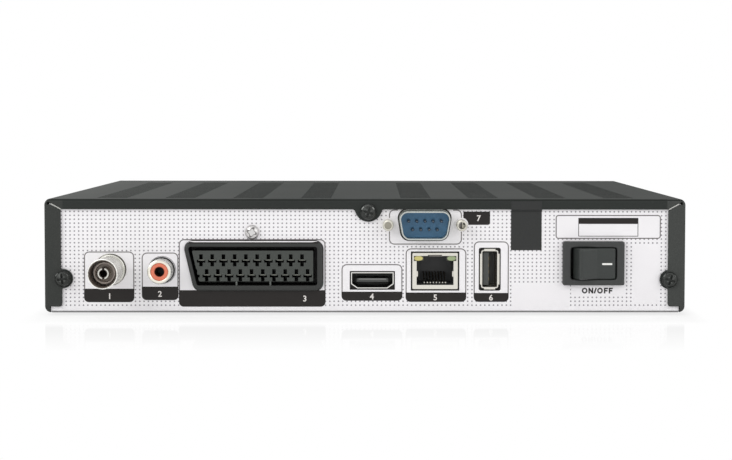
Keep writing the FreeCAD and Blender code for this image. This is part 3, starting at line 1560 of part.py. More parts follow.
# ================================================================ writing the pieces
def pieces():
    """Every node of the receiver with its shape."""
    made = {
        "top_cover": top_cover(), "cover_screws": cover_screws(), "panel_screw": panel_screw(),
        "seal_label": seal_label(), "chassis_pan": chassis_pan(), "rubber_feet": rubber_feet(),
        "board_standoffs": standoffs(), "board_screws": board_screws(),
        "main_board": board(main_board_x), "processor_chip": processor_chip(),
        "processor_heatsink": processor_heatsink(), "memory_chips": memory_chips(), "tuner_can": tuner_can(),
        "small_capacitors": small_capacitors(), "card_reader": card_reader(),
        "power_board": board(power_board_x), "transformer_core": transformer_core(),
        "transformer_winding": transformer_winding(), "mains_fuse": mains_fuse(),
        "filter_choke": filter_choke(),
        "filter_capacitor": filter_capacitor(), "bulk_capacitors": bulk_capacitors(),
        "power_heatsink": power_heatsink(),
        "aerial_socket_barrel": aerial_barrel(), "aerial_socket_insulator": aerial_insulator(),
        "aerial_socket_contact": aerial_contact(),
        "coax_socket_barrel": coax_barrel(), "coax_socket_insulator": coax_insulator(),
        "coax_socket_body": coax_body(),
        "av_socket_frame": av_frame(), "av_socket_block": av_block(), "av_socket_contacts": av_contacts(),
        "video_socket_shell": video_shell(), "video_socket_tongue": video_tongue(),
        "network_socket_shell": net_shell(), "network_socket_insert": net_insert(),
        "network_socket_contacts": net_contact_wires(), "network_socket_lights": net_lights(),
        "bus_socket_shell": bus_shell(), "bus_socket_tongue": bus_tongue(),
        "serial_socket_shell": serial_shell(), "serial_socket_insulator": serial_insulator(),
        "serial_socket_pins": serial_pins(), "serial_socket_jackposts": serial_jacks(),
        "ribbon_cables": ribbon_cables(), "wire_headers": wire_headers(), "power_harness": power_harness(),
        "power_switch_body": switch_body(), "power_switch_rocker": power_rocker(),
        "power_switch_terminals": switch_terminals(), "power_switch_leads": switch_leads(),
        "front_fascia": front_fascia(), "display_window": display_window(), "front_board": front_board(),
        "display_module": display_module(), "infrared_receiver": infrared_receiver(),
        "press_switches": tact_switches(),
    }
    for name, (x, round_cap) in buttons().items():
        made[name + "_button"] = front_button(x, round_cap)
    return made


def main():
    os.makedirs("parts", exist_ok=True)
    for name, shape in pieces().items():
        shape.exportStep("parts/" + name + ".step")


if __name__ == "__main__":
    main()
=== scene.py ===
"""Finishes, printing, socket details and stage for the satellite television receiver.

Everything is placed in the object's frame: +X to the right seen from the connector panel, +Y
from the panel to the fascia, +Z up, origin in the middle of the footprint. Sizes in this file
are millimetres unless a property or a comment says otherwise, and become metres when a piece
is made.
"""

import math

import bmesh
import bpy
from bpy.props import FloatProperty, FloatVectorProperty, PointerProperty
from mathutils import Matrix, Vector
from mathutils.geometry import tessellate_polygon


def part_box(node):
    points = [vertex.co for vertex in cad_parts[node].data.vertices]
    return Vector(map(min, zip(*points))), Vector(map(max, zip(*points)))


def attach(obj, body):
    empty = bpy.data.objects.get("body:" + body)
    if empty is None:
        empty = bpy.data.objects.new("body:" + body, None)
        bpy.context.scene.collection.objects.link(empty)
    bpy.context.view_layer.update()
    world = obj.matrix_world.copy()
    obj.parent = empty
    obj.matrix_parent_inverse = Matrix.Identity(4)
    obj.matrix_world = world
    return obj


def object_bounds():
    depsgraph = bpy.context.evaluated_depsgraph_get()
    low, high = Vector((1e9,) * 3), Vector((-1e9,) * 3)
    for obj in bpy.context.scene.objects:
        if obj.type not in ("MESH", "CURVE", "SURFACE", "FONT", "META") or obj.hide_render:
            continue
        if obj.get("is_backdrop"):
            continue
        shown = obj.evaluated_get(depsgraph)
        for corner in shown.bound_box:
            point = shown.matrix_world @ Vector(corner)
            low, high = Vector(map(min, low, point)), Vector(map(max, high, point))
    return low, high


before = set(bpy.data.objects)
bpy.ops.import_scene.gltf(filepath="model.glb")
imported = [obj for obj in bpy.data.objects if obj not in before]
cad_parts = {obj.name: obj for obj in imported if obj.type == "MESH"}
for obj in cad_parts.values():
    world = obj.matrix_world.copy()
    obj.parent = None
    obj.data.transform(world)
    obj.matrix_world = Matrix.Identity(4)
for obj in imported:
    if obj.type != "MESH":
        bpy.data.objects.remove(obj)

bl_info = {
    "name": "Receiver dressing",
    "version": (1, 0, 0),
    "blender": (4, 5, 0),
    "location": "View3D > Sidebar > Receiver",
    "description": "Finishes, printing, socket details and stage for a television receiver",
    "category": "Object",
}

MM = 0.001
PANEL_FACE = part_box("chassis_pan")[0].y / MM
PRINT_STEP = 0.015                          # thickness of one layer of print
PRINT_FRONT = PANEL_FACE - 2 * PRINT_STEP   # the second layer's face
PRINT_BACK = PANEL_FACE + 0.01              # prints are rooted in the sheet


def tone(red, green, blue):
    """Linear colour, with alpha, of an eight-bit screen colour."""
    def linear(value):
        value /= 255
        return value / 12.92 if value <= 0.04045 else ((value + 0.055) / 1.055) ** 2.4
    return (linear(red), linear(green), linear(blue), 1.0)


# ---------------------------------------------------------------------------- settings

def colour_property(name, description, default):
    """A colour that the sidebar shows."""
    return FloatVectorProperty(name=name, description=description, subtype="COLOR", size=4,
                               min=0, max=1, default=default)


def length_property(name, description, millimetres):
    """A length that the sidebar shows, kept in metres."""
    return FloatProperty(name=name, description=description, subtype="DISTANCE", unit="LENGTH",
                         default=millimetres * MM, min=0, precision=5)


def share_property(name, description, default):
    """A share from 0 to 1 that the sidebar shows."""
    return FloatProperty(name=name, description=description, default=default, min=0, max=1,
                         subtype="FACTOR")


class ReceiverCoverSettings(bpy.types.PropertyGroup):
    """Paint of the folded cover."""
    paint: colour_property("Paint", "Powder coat of the folded cover", tone(47, 50, 48))
    # painted light: the returns are given a lighter copy of the cover paint
    returns: colour_property("Returns", "Paint of the narrow returns at the sides",
                             tone(58, 60, 58))
    grain: length_property("Grain", "Size of one grain of the powder coat", 0.55)
    relief: share_property("Relief", "Strength of the grain's bump", 0.12)
    sheen: share_property("Reflection", "How much the paint reflects", 0.2)
    screw: colour_property("Screws", "Blackened screws", tone(50, 52, 50))
    label: colour_property("Label", "Seal label over the joint", tone(25, 27, 26))


class ReceiverPanelSettings(bpy.types.PropertyGroup):
    """Printing on the connector panel."""
    paper: colour_property("Ground", "Silver-white ground of the panel", tone(242, 240, 242))
    dot: colour_property("Dots", "Ink of the small dots", tone(138, 136, 140))
    ink: colour_property("Ink", "Dark ink of the bands", tone(29, 25, 23))
    line: colour_property("Line ink", "Grey ink of the outlines", tone(112, 108, 108))
    pitch_across: length_property("Dot pitch across", "Distance of two dots in a row", 1.47)
    pitch_up: length_property("Dot pitch up", "Distance of two rows", 1.3325)
    dot_radius: length_property("Dot radius", "Radius of one dot", 0.27)
    lowest_row: length_property("Lowest row", "No dots below this height", 2.9)
    outline: length_property("Outline", "Width of the line round a socket", 0.35)
    corner: length_property("Corner", "Corner radius of a socket's outline", 1.6)


class ReceiverSocketSettings(bpy.types.PropertyGroup):
    """Colours of the sockets."""
    nickel: colour_property("Nickel", "Nickel plated turned parts", tone(208, 205, 198))
    tin: colour_property("Tinplate", "Folded shells of the data sockets", tone(224, 221, 212))
    orange: colour_property("Orange", "Insert of the coaxial socket", tone(220, 120, 92))
    blue: colour_property("Blue", "Moulding of the serial socket", tone(74, 124, 162))
    moulding: colour_property("Moulding", "Dark moulding of the wide socket", tone(36, 38, 36))
    amber: colour_property("Amber light", "Left light of the network socket",
                           tone(206, 196, 118))
    green: colour_property("Green light", "Right light of the network socket",
                           tone(156, 172, 128))


class ReceiverFrontSettings(bpy.types.PropertyGroup):
    """Fascia, window and buttons."""
    fascia: colour_property("Fascia", "Gloss black fascia", tone(20, 21, 22))
    button: colour_property("Buttons", "Moulded buttons", tone(92, 95, 98))
    symbol: colour_property("Symbols", "Print on the buttons", tone(222, 224, 226))
    digits: colour_property("Digits", "Lit display segments", tone(150, 235, 190))
    digit_height: length_property("Digit height", "Height of a display digit", 9.0)


class ReceiverStageSettings(bpy.types.PropertyGroup):
    """Camera, lamps and floor."""
    lens: FloatProperty(name="Lens", description="Focal length on a 36 mm sensor",
                        default=69.37, min=10, subtype="DISTANCE_CAMERA")
    eye: FloatVectorProperty(name="Eye", description="Camera position", size=3,
                             subtype="TRANSLATION", unit="LENGTH",
                             default=(0.0027513, -0.545970, 0.067916))
    aim: FloatVectorProperty(name="Aim", description="Yaw, downward pitch and roll", size=3,
                             subtype="EULER", unit="ROTATION",
                             default=tuple(math.radians(a) for a in (0.71096, 2.22051, 0.08837)))
    shift: FloatVectorProperty(name="Shift", description="Lens shift, part of the width",
                               size=2, default=(-0.03472, -0.08077))
    sky: FloatProperty(name="Sky", description="Strength of the white surroundings",
                       default=0.72, min=0)
    lamp: FloatProperty(name="Lamps", description="Factor on all lamps", default=1.0, min=0)
    mirror: share_property("Floor mirror", "Share of the floor's mirror image", 0.1)
    shade: share_property("Floor shade", "Strength of the shadow on the floor", 0.25)


# ---------------------------------------------------------------------------- node helpers

def feed(tree, socket, value):
    """Links a socket to another one, or sets its constant."""
    if isinstance(value, bpy.types.NodeSocket):
        tree.links.new(value, socket)
    elif value is not None:
        socket.default_value = value


def add(tree, kind, *values, settings=None, **named):
    """Adds a node. Values go in by order, named ones by socket name."""
    node = tree.nodes.new("ShaderNode" + kind)
    for key, value in (settings or {}).items():
        setattr(node, key, value)
    for index, value in enumerate(values):
        feed(tree, node.inputs[index], value)
    for key, value in named.items():
        feed(tree, node.inputs[key.replace("_", " ")], value)
    return node


def reckon(tree, operation, *values, clamp=False):
    """Output of a Math node."""
    return add(tree, "Math", *values,
               settings={"operation": operation, "use_clamp": clamp}).outputs[0]


def reckon_vector(tree, operation, *values, output=0):
    """Output of a Vector Math node."""
    return add(tree, "VectorMath", *values, settings={"operation": operation}).outputs[output]


def blend_colour(tree, share, first, second):
    """Output of a colour mix."""
    node = tree.nodes.new("ShaderNodeMix")
    node.data_type = "RGBA"
    for index, value in ((0, share), (6, first), (7, second)):
        feed(tree, node.inputs[index], value)
    return node.outputs[2]


def ramp(tree, value, low, high, start=0.0, end=1.0):
    """Output of a Map Range node."""
    return add(tree, "MapRange", value, low, high, start, end).outputs[0]


def object_place(tree):
    """The shaded point, from the object's origin."""
    return add(tree, "TexCoord").outputs["Object"]


def split_place(tree, origin=None):
    """X, Y and Z of the shaded point, from the object's origin or another one."""
    place = object_place(tree)
    if origin is not None:
        place = reckon_vector(tree, "SUBTRACT", place, origin)
    return add(tree, "SeparateXYZ", place).outputs


def seen_rays(tree):
    """1 on rays that show the thing itself, 0 on those that only carry its light."""
    path = add(tree, "LightPath").outputs
    direct = reckon(tree, "MAXIMUM", path["Is Camera Ray"], path["Is Glossy Ray"])
    return reckon(tree, "MAXIMUM", direct, path["Is Transmission Ray"])


def new_group(name, inputs, outputs):
    """Empty shader group, with its input and output sockets."""
    tree = bpy.data.node_groups.new(name, "ShaderNodeTree")
    for label, kind, default in inputs:
        socket = tree.interface.new_socket(label, in_out="INPUT", socket_type="NodeSocket" + kind)
        socket.default_value = default
    for label, kind in outputs:
        tree.interface.new_socket(label, in_out="OUTPUT", socket_type="NodeSocket" + kind)
    return (tree, tree.nodes.new("NodeGroupInput").outputs,
            tree.nodes.new("NodeGroupOutput").inputs)


def use(tree, group, **named):
    """Places a shared group in a material. Underscores stand for spaces."""
    node = tree.nodes.new("ShaderNodeGroup")
    node.node_tree = bpy.data.node_groups[group]
    for key, value in named.items():
        feed(tree, node.inputs[key.replace("_", " ")], value)
    return node.outputs


# ---------------------------------------------------------------------------- shared groups

def make_surface_grain():
    """Fine grain, which can be drawn out in one direction, and a wide cloud."""
    tree, given, out = new_group(
        "Surface grain",
        [("Scale", "Float", 900.0), ("Stretch", "Vector", (1, 1, 1))],
        [("Grain", "Float"), ("Cloud", "Float")])
    place = object_place(tree)
    drawn = reckon_vector(tree, "MULTIPLY", place, given["Stretch"])
    fine = add(tree, "TexNoise", Vector=drawn, Scale=given["Scale"], Detail=3.0, Roughness=0.6)
    wide = add(tree, "TexNoise", Vector=place, Detail=4.0, Roughness=0.55,
               Scale=reckon(tree, "MULTIPLY", given["Scale"], 0.035))
    feed(tree, out["Grain"], fine.outputs[0])
    feed(tree, out["Cloud"], wide.outputs[0])


def make_powder_coat():
    """Lumps of a powder coat, and the flecks in its colour."""
    tree, given, out = new_group(
        "Powder coat", [("Grain size", "Float", 0.0005)],
        [("Height", "Float"), ("Fleck", "Float")])
    place = object_place(tree)
    scale = reckon(tree, "DIVIDE", 1.0, given["Grain size"])
    lumps = add(tree, "TexVoronoi", Vector=place, Scale=scale,
                settings={"feature": "SMOOTH_F1"})
    peel = add(tree, "TexNoise", Vector=place, Scale=reckon(tree, "MULTIPLY", scale, 0.35),
               Detail=2.0)
    height = reckon(tree, "ADD", reckon(tree, "MULTIPLY", lumps.outputs["Distance"], -0.6),
                    reckon(tree, "MULTIPLY", peel.outputs[0], 0.8))
    fleck = add(tree, "TexNoise", Vector=place, Scale=reckon(tree, "MULTIPLY", scale, 1.4),
                Detail=1.0)
    feed(tree, out["Height"], height)
    feed(tree, out["Fleck"], fleck.outputs[0])


def make_mottled_colour():
    """A colour that a cloud makes a little lighter and darker."""
    tree, given, out = new_group(
        "Mottled colour",
        [("Colour", "Color", (0.5, 0.5, 0.5, 1)), ("Amount", "Float", 0.1),
         ("Cloud", "Float", 0.5)],
        [("Colour", "Color")])
    swing = reckon(tree, "MULTIPLY", reckon(tree, "SUBTRACT", given["Cloud"], 0.5),
                   given["Amount"])
    value = reckon(tree, "MULTIPLY_ADD", swing, 2.0, 1.0)
    feed(tree, out["Colour"],
         add(tree, "HueSaturation", Value=value, Color=given["Colour"]).outputs[0])


def make_soft_edge():
    """Normals that round off the edges, and a mask of these edges."""
    tree, given, out = new_group(
        "Soft edge", [("Radius", "Float", 0.0002)], [("Normal", "Vector"), ("Edge", "Float")])
    rounded_off = add(tree, "Bevel", settings={"samples": 4}, Radius=given["Radius"]).outputs[0]
    straight = add(tree, "NewGeometry").outputs["Normal"]
    along = reckon_vector(tree, "DOT_PRODUCT", rounded_off, straight, output="Value")
    feed(tree, out["Normal"], rounded_off)
    feed(tree, out["Edge"], ramp(tree, along, 0.995, 0.8))


def make_worn_edge():
    """Another colour on the edges, broken up by the grain."""
    tree, given, out = new_group(
        "Worn edge",
        [("Colour", "Color", (0.5, 0.5, 0.5, 1)), ("Wear", "Color", (0.7, 0.7, 0.7, 1)),
         ("Edge", "Float", 0.0), ("Grain", "Float", 0.5), ("Amount", "Float", 0.3)],
        [("Colour", "Color")])
    broken = ramp(tree, given["Grain"], 0.35, 0.75)
    share = reckon(tree, "MULTIPLY", reckon(tree, "MULTIPLY", given["Edge"], broken),
                   given["Amount"], clamp=True)
    feed(tree, out["Colour"], blend_colour(tree, share, given["Colour"], given["Wear"]))


def make_settled_dust():
    """Dust in a cloud on what faces up."""
    tree, given, out = new_group(
        "Settled dust",
        [("Colour", "Color", (0.5, 0.5, 0.5, 1)), ("Dust", "Color", (0.4, 0.39, 0.37, 1)),
         ("Cloud", "Float", 0.5), ("Amount", "Float", 0.05)],
        [("Colour", "Color")])
    upward = add(tree, "SeparateXYZ", add(tree, "NewGeometry").outputs["Normal"]).outputs[2]
    lying = reckon(tree, "MULTIPLY", ramp(tree, upward, 0.3, 1.0),
                   ramp(tree, given["Cloud"], 0.35, 0.7))
    mask = reckon(tree, "MULTIPLY", lying, given["Amount"], clamp=True)
    feed(tree, out["Colour"], blend_colour(tree, mask, given["Colour"], given["Dust"]))


def make_dot_print():
    """Rows of printed dots on a ground, above a lowest height."""
    tree, given, out = new_group(
        "Dot print",
        [("Paper", "Color", (0.8, 0.8, 0.8, 1)), ("Ink", "Color", (0.2, 0.2, 0.2, 1)),
         ("Pitch across", "Float", 0.0015), ("Pitch up", "Float", 0.0013),
         ("Start across", "Float", 0.0), ("Start up", "Float", 0.0),
         ("Radius", "Float", 0.0003), ("Lowest", "Float", 0.0)],
        [("Colour", "Color")])
    place = split_place(tree)

    def offset(axis, start, pitch):
        half = reckon(tree, "MULTIPLY", pitch, 0.5)
        shifted = reckon(tree, "ADD", reckon(tree, "SUBTRACT", place[axis], start), half)
        return reckon(tree, "SUBTRACT", reckon(tree, "FLOORED_MODULO", shifted, pitch), half)

    across = offset(0, given["Start across"], given["Pitch across"])
    up = offset(2, given["Start up"], given["Pitch up"])
    away = reckon(tree, "SQRT", reckon(tree, "ADD", reckon(tree, "MULTIPLY", across, across),
                                       reckon(tree, "MULTIPLY", up, up)))
    inside = ramp(tree, reckon(tree, "DIVIDE", away, given["Radius"]), 1.12, 0.88)
    high = reckon(tree, "GREATER_THAN", place[2], given["Lowest"])
    dots = reckon(tree, "MULTIPLY", inside, high)
    feed(tree, out["Colour"], blend_colour(tree, dots, given["Paper"], given["Ink"]))


def make_facing():
    """1 where the surface looks along the given direction."""
    tree, given, out = new_group(
        "Facing", [("Direction", "Vector", (0, 0, 1))], [("Mask", "Float")])
    normal = add(tree, "NewGeometry").outputs["Normal"]
    along = reckon_vector(tree, "DOT_PRODUCT", normal, given["Direction"], output="Value")
    feed(tree, out["Mask"], ramp(tree, along, 0.9, 0.97))


def make_place():
    """Distance from an axis along Y, and from a plane across it."""
    tree, given, out = new_group(
        "Place", [("Middle", "Vector", (0, 0, 0))], [("Away", "Float"), ("Beyond", "Float")])
    from_middle = reckon_vector(tree, "SUBTRACT", object_place(tree), given["Middle"])
    across = reckon_vector(tree, "MULTIPLY", from_middle, (1, 0, 1))
    feed(tree, out["Away"], reckon_vector(tree, "LENGTH", across, output="Value"))
    feed(tree, out["Beyond"], add(tree, "SeparateXYZ", from_middle).outputs[1])


def make_ribbing():
    """Parallel ribs across one direction: height, and a darker line between them as painted
    shade.
    """
    tree, given, out = new_group(
        "Ribbing", [("Direction", "Vector", (1, 0, 0)), ("Pitch", "Float", 0.001)],
        [("Height", "Float"), ("Gap shade", "Float")])
    along = reckon_vector(tree, "DOT_PRODUCT", object_place(tree), given["Direction"],
                          output="Value")
    turn = reckon(tree, "FRACT", reckon(tree, "DIVIDE", along, given["Pitch"]))
    rise = reckon(tree, "SINE", reckon(tree, "MULTIPLY", turn, math.pi))
    feed(tree, out["Height"], rise)
    feed(tree, out["Gap shade"], ramp(tree, rise, 0.35, 0.0))


def make_copper_tracks():
    """Tracks under a solder mask, and the pads that stand free of it."""
    tree, given, out = new_group(
        "Copper tracks",
        [("Mask colour", "Color", (0.03, 0.2, 0.1, 1)), ("Track", "Color", (0.08, 0.34, 0.18, 1)),
         ("Pad", "Color", (0.7, 0.68, 0.62, 1)), ("Scale", "Float", 160.0)],
        [("Colour", "Color"), ("Height", "Float"), ("Pad mask", "Float")])
    place = object_place(tree)
    cells = add(tree, "TexVoronoi", Vector=place, Scale=given["Scale"],
                settings={"distance": "CHEBYCHEV", "feature": "F1"})
    edges = add(tree, "TexVoronoi", Vector=place, Scale=given["Scale"],
                settings={"distance": "MANHATTAN", "feature": "F2"})
    lines = reckon(tree, "FRACT", reckon(tree, "MULTIPLY", edges.outputs["Distance"], 4.0))
    tracks = ramp(tree, lines, 0.42, 0.5)
    pads = ramp(tree, cells.outputs["Distance"], 0.16, 0.12)
    colour = blend_colour(tree, tracks, given["Mask colour"], given["Track"])
    feed(tree, out["Colour"], blend_colour(tree, pads, colour, given["Pad"]))
    feed(tree, out["Height"], reckon(tree, "MAXIMUM", tracks, pads))
    feed(tree, out["Pad mask"], pads)


def make_groups():
    """All groups that the materials share."""
    for maker in (make_surface_grain, make_powder_coat, make_mottled_colour, make_soft_edge,
                  make_worn_edge, make_settled_dust, make_dot_print, make_facing, make_place,
                  make_ribbing, make_copper_tracks):
        maker()


# ---------------------------------------------------------------------------- finishes

class Finish:
    """One material: colour, mottling, wear, dust, roughness and bump round one shader.

    rough is the range of roughness, grain its scale per metre, relief the bump's depth and edge
    the radius of the softened edges in millimetres. A pattern is called with the finish, gives
    the base colour, and may also set the height and feed the shader.
    """

    def __init__(self, name, colour, rough=(0.4, 0.5), metallic=0.0, grain=900.0,
                 stretch=(1, 1, 1), bump=0.05, relief=0.05, mottle=0.05, edge=0.12,
                 wear=None, wear_amount=0.0, dust=0.0, pattern=None, **shader_values):
        self.material = bpy.data.materials.new(name)
        self.material.use_nodes = True
        self.tree = tree = self.material.node_tree
        tree.nodes.clear()
        self.shader = add(tree, "BsdfPrincipled")
        feed(tree, add(tree, "OutputMaterial").inputs["Surface"], self.shader.outputs[0])
        surface = use(tree, "Surface grain", Scale=grain, Stretch=stretch)
        self.grain, self.cloud = surface["Grain"], surface["Cloud"]
        self.height = self.grain
        soft = use(tree, "Soft edge", Radius=edge * MM)
        if pattern:
            colour = pattern(self)
        colour = use(tree, "Mottled colour", Colour=colour, Amount=mottle,
                     Cloud=self.cloud)["Colour"]
        if wear:
            colour = use(tree, "Worn edge", Colour=colour, Wear=wear, Edge=soft["Edge"],
                         Grain=self.grain, Amount=wear_amount)["Colour"]
        if dust:
            colour = use(tree, "Settled dust", Colour=colour, Cloud=self.cloud,
                         Amount=dust)["Colour"]
        feed(tree, self.shader.inputs["Base Color"], colour)
        feed(tree, self.shader.inputs["Roughness"], ramp(tree, self.grain, 0.3, 0.7, *rough))
        raised = add(tree, "Bump", Strength=bump, Distance=relief * MM, Height=self.height,
                     Normal=soft["Normal"])
        feed(tree, self.shader.inputs["Normal"], raised.outputs[0])
        if not self.shader.inputs["Metallic"].is_linked:
            self.shader.inputs["Metallic"].default_value = metallic
        for key, value in shader_values.items():
            self.shader.inputs[key.replace("_", " ")].default_value = value

    def metal_except(self, mask):
        """Metal everywhere but where the mask is 1."""
        feed(self.tree, self.shader.inputs["Metallic"],
             reckon(self.tree, "SUBTRACT", 1.0, mask))


def metal(name, colour, rough, **more):
    """Material of a metal piece."""
    return Finish(name, colour, rough=rough,
                  **{"metallic": 1.0, "grain": 2500, "bump": 0.04, "edge": 0.05,
                     **more}).material


def plastic(name, colour, rough=(0.4, 0.55), **more):
    """Material of a moulded piece."""
    return Finish(name, colour, rough=rough,
                  **{"grain": 1500, "bump": 0.08, "edge": 0.15, **more}).material


def printed(name, colour, rough=(0.4, 0.5), **more):
    """Material of something printed."""
    return Finish(name, colour, rough=rough,
                  **{"grain": 2500, "bump": 0.03, "edge": 0.02, **more}).material


def dress(material, *nodes):
    """Gives packed nodes their material."""
    for node in nodes:
        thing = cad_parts[node]
        if not thing.material_slots:
            thing.data.materials.append(material)
        for place in thing.material_slots:
            place.material = material


# ---------------------------------------------------------------------------- mesh helpers

def span(node):
    """Lower and upper corner of a node's box, in millimetres."""
    low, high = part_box(node)
    return low / MM, high / MM


def panel_side(node):
    """Where a node begins along Y, on the side of the connector panel."""
    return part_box(node)[0].y / MM


def middle_of(node):
    """Middle of a node's box, in metres."""
    low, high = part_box(node)
    return (low + high) / 2


def rounded(left, bottom, right, top, radii, steps=6):
    """Outline in X and Z. Radii: bottom left, bottom right, top right, top left."""
    if not isinstance(radii, (tuple, list)):
        radii = (radii,) * 4
    corners = ((left, bottom, 1, 1, 180), (right, bottom, -1, 1, 270),
               (right, top, -1, -1, 0), (left, top, 1, -1, 90))
    outline = []
    for (x, z, to_x, to_z, start), radius in zip(corners, radii):
        if radius <= 0:
            outline.append((x, z))
            continue
        for step in range(steps + 1):
            angle = math.radians(start + 90 * step / steps)
            outline.append((x + radius * (to_x + math.cos(angle)),
                            z + radius * (to_z + math.sin(angle))))
    return outline


def disc(x, z, radius, steps=32):
    """Outline of a circle in X and Z."""
    return [(x + radius * math.cos(2 * math.pi * step / steps),
             z + radius * math.sin(2 * math.pi * step / steps)) for step in range(steps)]


def arc(x, z, radius, start, end, steps):
    """Points on a circle in X and Z between two angles in degrees."""
    angles = (math.radians(start + (end - start) * step / steps) for step in range(steps + 1))
    return [(x + radius * math.cos(angle), z + radius * math.sin(angle)) for angle in angles]


def chamfered(x, z, half, tall, cut_x, cut_z, inset):
    """Outline with its two lower corners cut, inset all round."""
    half, tall = half - inset, tall - inset
    return [(x - half + cut_x, z - tall), (x + half - cut_x, z - tall),
            (x + half, z - tall + cut_z), (x + half, z + tall), (x - half, z + tall),
            (x - half, z - tall + cut_z)]


def stroke(path, width):
    """Outline of a line of even width along a path in X and Z."""
    left, right = [], []
    for index, (x, z) in enumerate(path):
        start, end = path[max(index - 1, 0)], path[min(index + 1, len(path) - 1)]
        run = math.dist(start, end)
        aside = (start[1] - end[1]) / run * width / 2, (end[0] - start[0]) / run * width / 2
        left.append((x + aside[0], z + aside[1]))
        right.append((x - aside[0], z - aside[1]))
    return left + right[::-1]


def grown(outline, by, ceiling=math.inf):
    """The outline moved outwards by about the given amount, and cut off at the ceiling."""
    xs, zs = zip(*outline)
    middle = (min(xs) + max(xs)) / 2, (min(zs) + max(zs)) / 2
    factor = [1 + 2 * by / (max(values) - min(values)) for values in (xs, zs)]
    return [(middle[0] + (x - middle[0]) * factor[0],
             min(middle[1] + (z - middle[1]) * factor[1], ceiling)) for x, z in outline]


def panel_openings():
    """Outlines of the holes in the panel's outer face, read from the packed panel."""
    whole_panel = 100               # no opening is as wide as this
    mesh = bmesh.new()
    mesh.from_mesh(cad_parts["chassis_pan"].data)
    bmesh.ops.remove_doubles(mesh, verts=mesh.verts, dist=1e-6)
    face = PANEL_FACE * MM
    counts = {}
    for polygon in mesh.faces:
        if all(abs(vert.co.y - face) < 1e-5 for vert in polygon.verts):
            for edge in polygon.edges:
                counts[edge] = counts.get(edge, 0) + 1
    rim = {edge: True for edge, count in counts.items() if count == 1}    # in a fixed order
    outlines = []
    while rim:
        edge, _ = rim.popitem()
        start, vert = edge.verts
        outline = [start, vert]
        while vert is not start:
            following = next((e for e in vert.link_edges if e in rim), None)
            if following is None:
                break
            del rim[following]
            vert = following.other_vert(vert)
            outline.append(vert)
        outlines.append([(v.co.x / MM, v.co.z / MM) for v in outline[:-1]])
    mesh.free()
    outlines.sort(key=lambda o: min(x for x, _ in o))
    widths = [max(x for x, _ in o) - min(x for x, _ in o) for o in outlines]
    return [o for o, width in zip(outlines, widths) if width < whole_panel]


class Piece:
    """Collects solids, in millimetres, and makes one object of them."""

    FIGURE_SHARE, BOLD = 0.73, 0.06     # a figure's height in the font's size, added weight
    SMOOTH_BELOW, ROUND_ABOVE = 35, 40  # degrees at an edge: shaded smooth, rounded off

    def __init__(self):
        self.points = []
        self.faces = []
        self.looks = []

    def _add(self, points, faces, look=0):
        start = len(self.points)
        self.points += points
        self.faces += [tuple(start + index for index in face) for face in faces]
        self.looks += [look] * len(faces)

    def prism(self, outline, front, back, holes=(), look=0):
        """Plate in X and Z between two places along Y."""
        loops = [list(outline), *[list(hole) for hole in holes]]
        flat = [point for loop in loops for point in loop]
        count = len(flat)
        if len(loops) == 1:
            caps = [tuple(range(count))]
        else:
            caps = tessellate_polygon([[Vector((x, z, 0)) for x, z in loop] for loop in loops])
        faces = [tuple(cap) for cap in caps]
        faces += [tuple(index + count for index in reversed(cap)) for cap in caps]
        start = 0
        for loop in loops:
            for index in range(len(loop)):
                first, second = start + index, start + (index + 1) % len(loop)
                faces.append((first, second, second + count, first + count))
            start += len(loop)
        self._add([(x, front, z) for x, z in flat] + [(x, back, z) for x, z in flat],
                  faces, look)

    def turned(self, x, z, profile, look=0, steps=40):
        """Closed ring about an axis along Y, from (radius, y) pairs."""
        count = len(profile)
        points = [(x + radius * math.cos(2 * math.pi * step / steps), y,
                   z + radius * math.sin(2 * math.pi * step / steps))
                  for step in range(steps) for radius, y in profile]
        faces = []
        for step in range(steps):
            here, there = step * count, (step + 1) % steps * count
            for index in range(count):
                after = (index + 1) % count
                faces.append((here + index, here + after, there + after, there + index))
        self._add(points, faces, look)

    def lettering(self, text, x, z, height, front, back):
        """Figures on the panel, centred on x and z."""
        curve = bpy.data.curves.new("lettering", "FONT")
        curve.body, curve.size = text, height / self.FIGURE_SHARE
        curve.offset = self.BOLD
        curve.align_x, curve.align_y = "CENTER", "BOTTOM_BASELINE"
        curve.extrude, curve.resolution_u = 0.5, 3
        holder = bpy.data.objects.new("lettering", curve)
        mesh = bpy.data.meshes.new_from_object(holder)
        middle = (front + back) / 2
        depth = abs(front - back)
        points = [(x + v.co.x, middle - v.co.z * depth, z - height / 2 + v.co.y)
                  for v in mesh.vertices]
        self._add(points, [tuple(p.vertices) for p in mesh.polygons])
        bpy.data.objects.remove(holder)
        bpy.data.curves.remove(curve)
        bpy.data.meshes.remove(mesh)

    def make(self, name, body, slot, *materials, round_off=0.0):
        """Makes the object, and says what it rides on and what it is finished as."""
        mesh = bpy.data.meshes.new(name)
        mesh.from_pydata([tuple(value * MM for value in p) for p in self.points], [], self.faces)
        for material in materials:
            mesh.materials.append(material)
        mesh.polygons.foreach_set("material_index", self.looks)
        tidy = bmesh.new()
        tidy.from_mesh(mesh)
        bmesh.ops.remove_doubles(tidy, verts=tidy.verts, dist=1e-7)
        bmesh.ops.dissolve_degenerate(tidy, edges=tidy.edges, dist=1e-8)
        bmesh.ops.recalc_face_normals(tidy, faces=tidy.faces)
        tidy.to_mesh(mesh)
        tidy.free()
        mesh.shade_smooth()
        mesh.set_sharp_from_angle(angle=math.radians(self.SMOOTH_BELOW))
        thing = bpy.data.objects.new(name, mesh)
        bpy.context.scene.collection.objects.link(thing)
        if round_off:
            bevel = thing.modifiers.new("rounded edges", "BEVEL")
            bevel.width, bevel.segments = round_off * MM, 2
            bevel.limit_method = "ANGLE"
            bevel.angle_limit = math.radians(self.ROUND_ABOVE)
            bevel.harden_normals = True
        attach(thing, body)
        return thing


# ---------------------------------------------------------------------------- stage

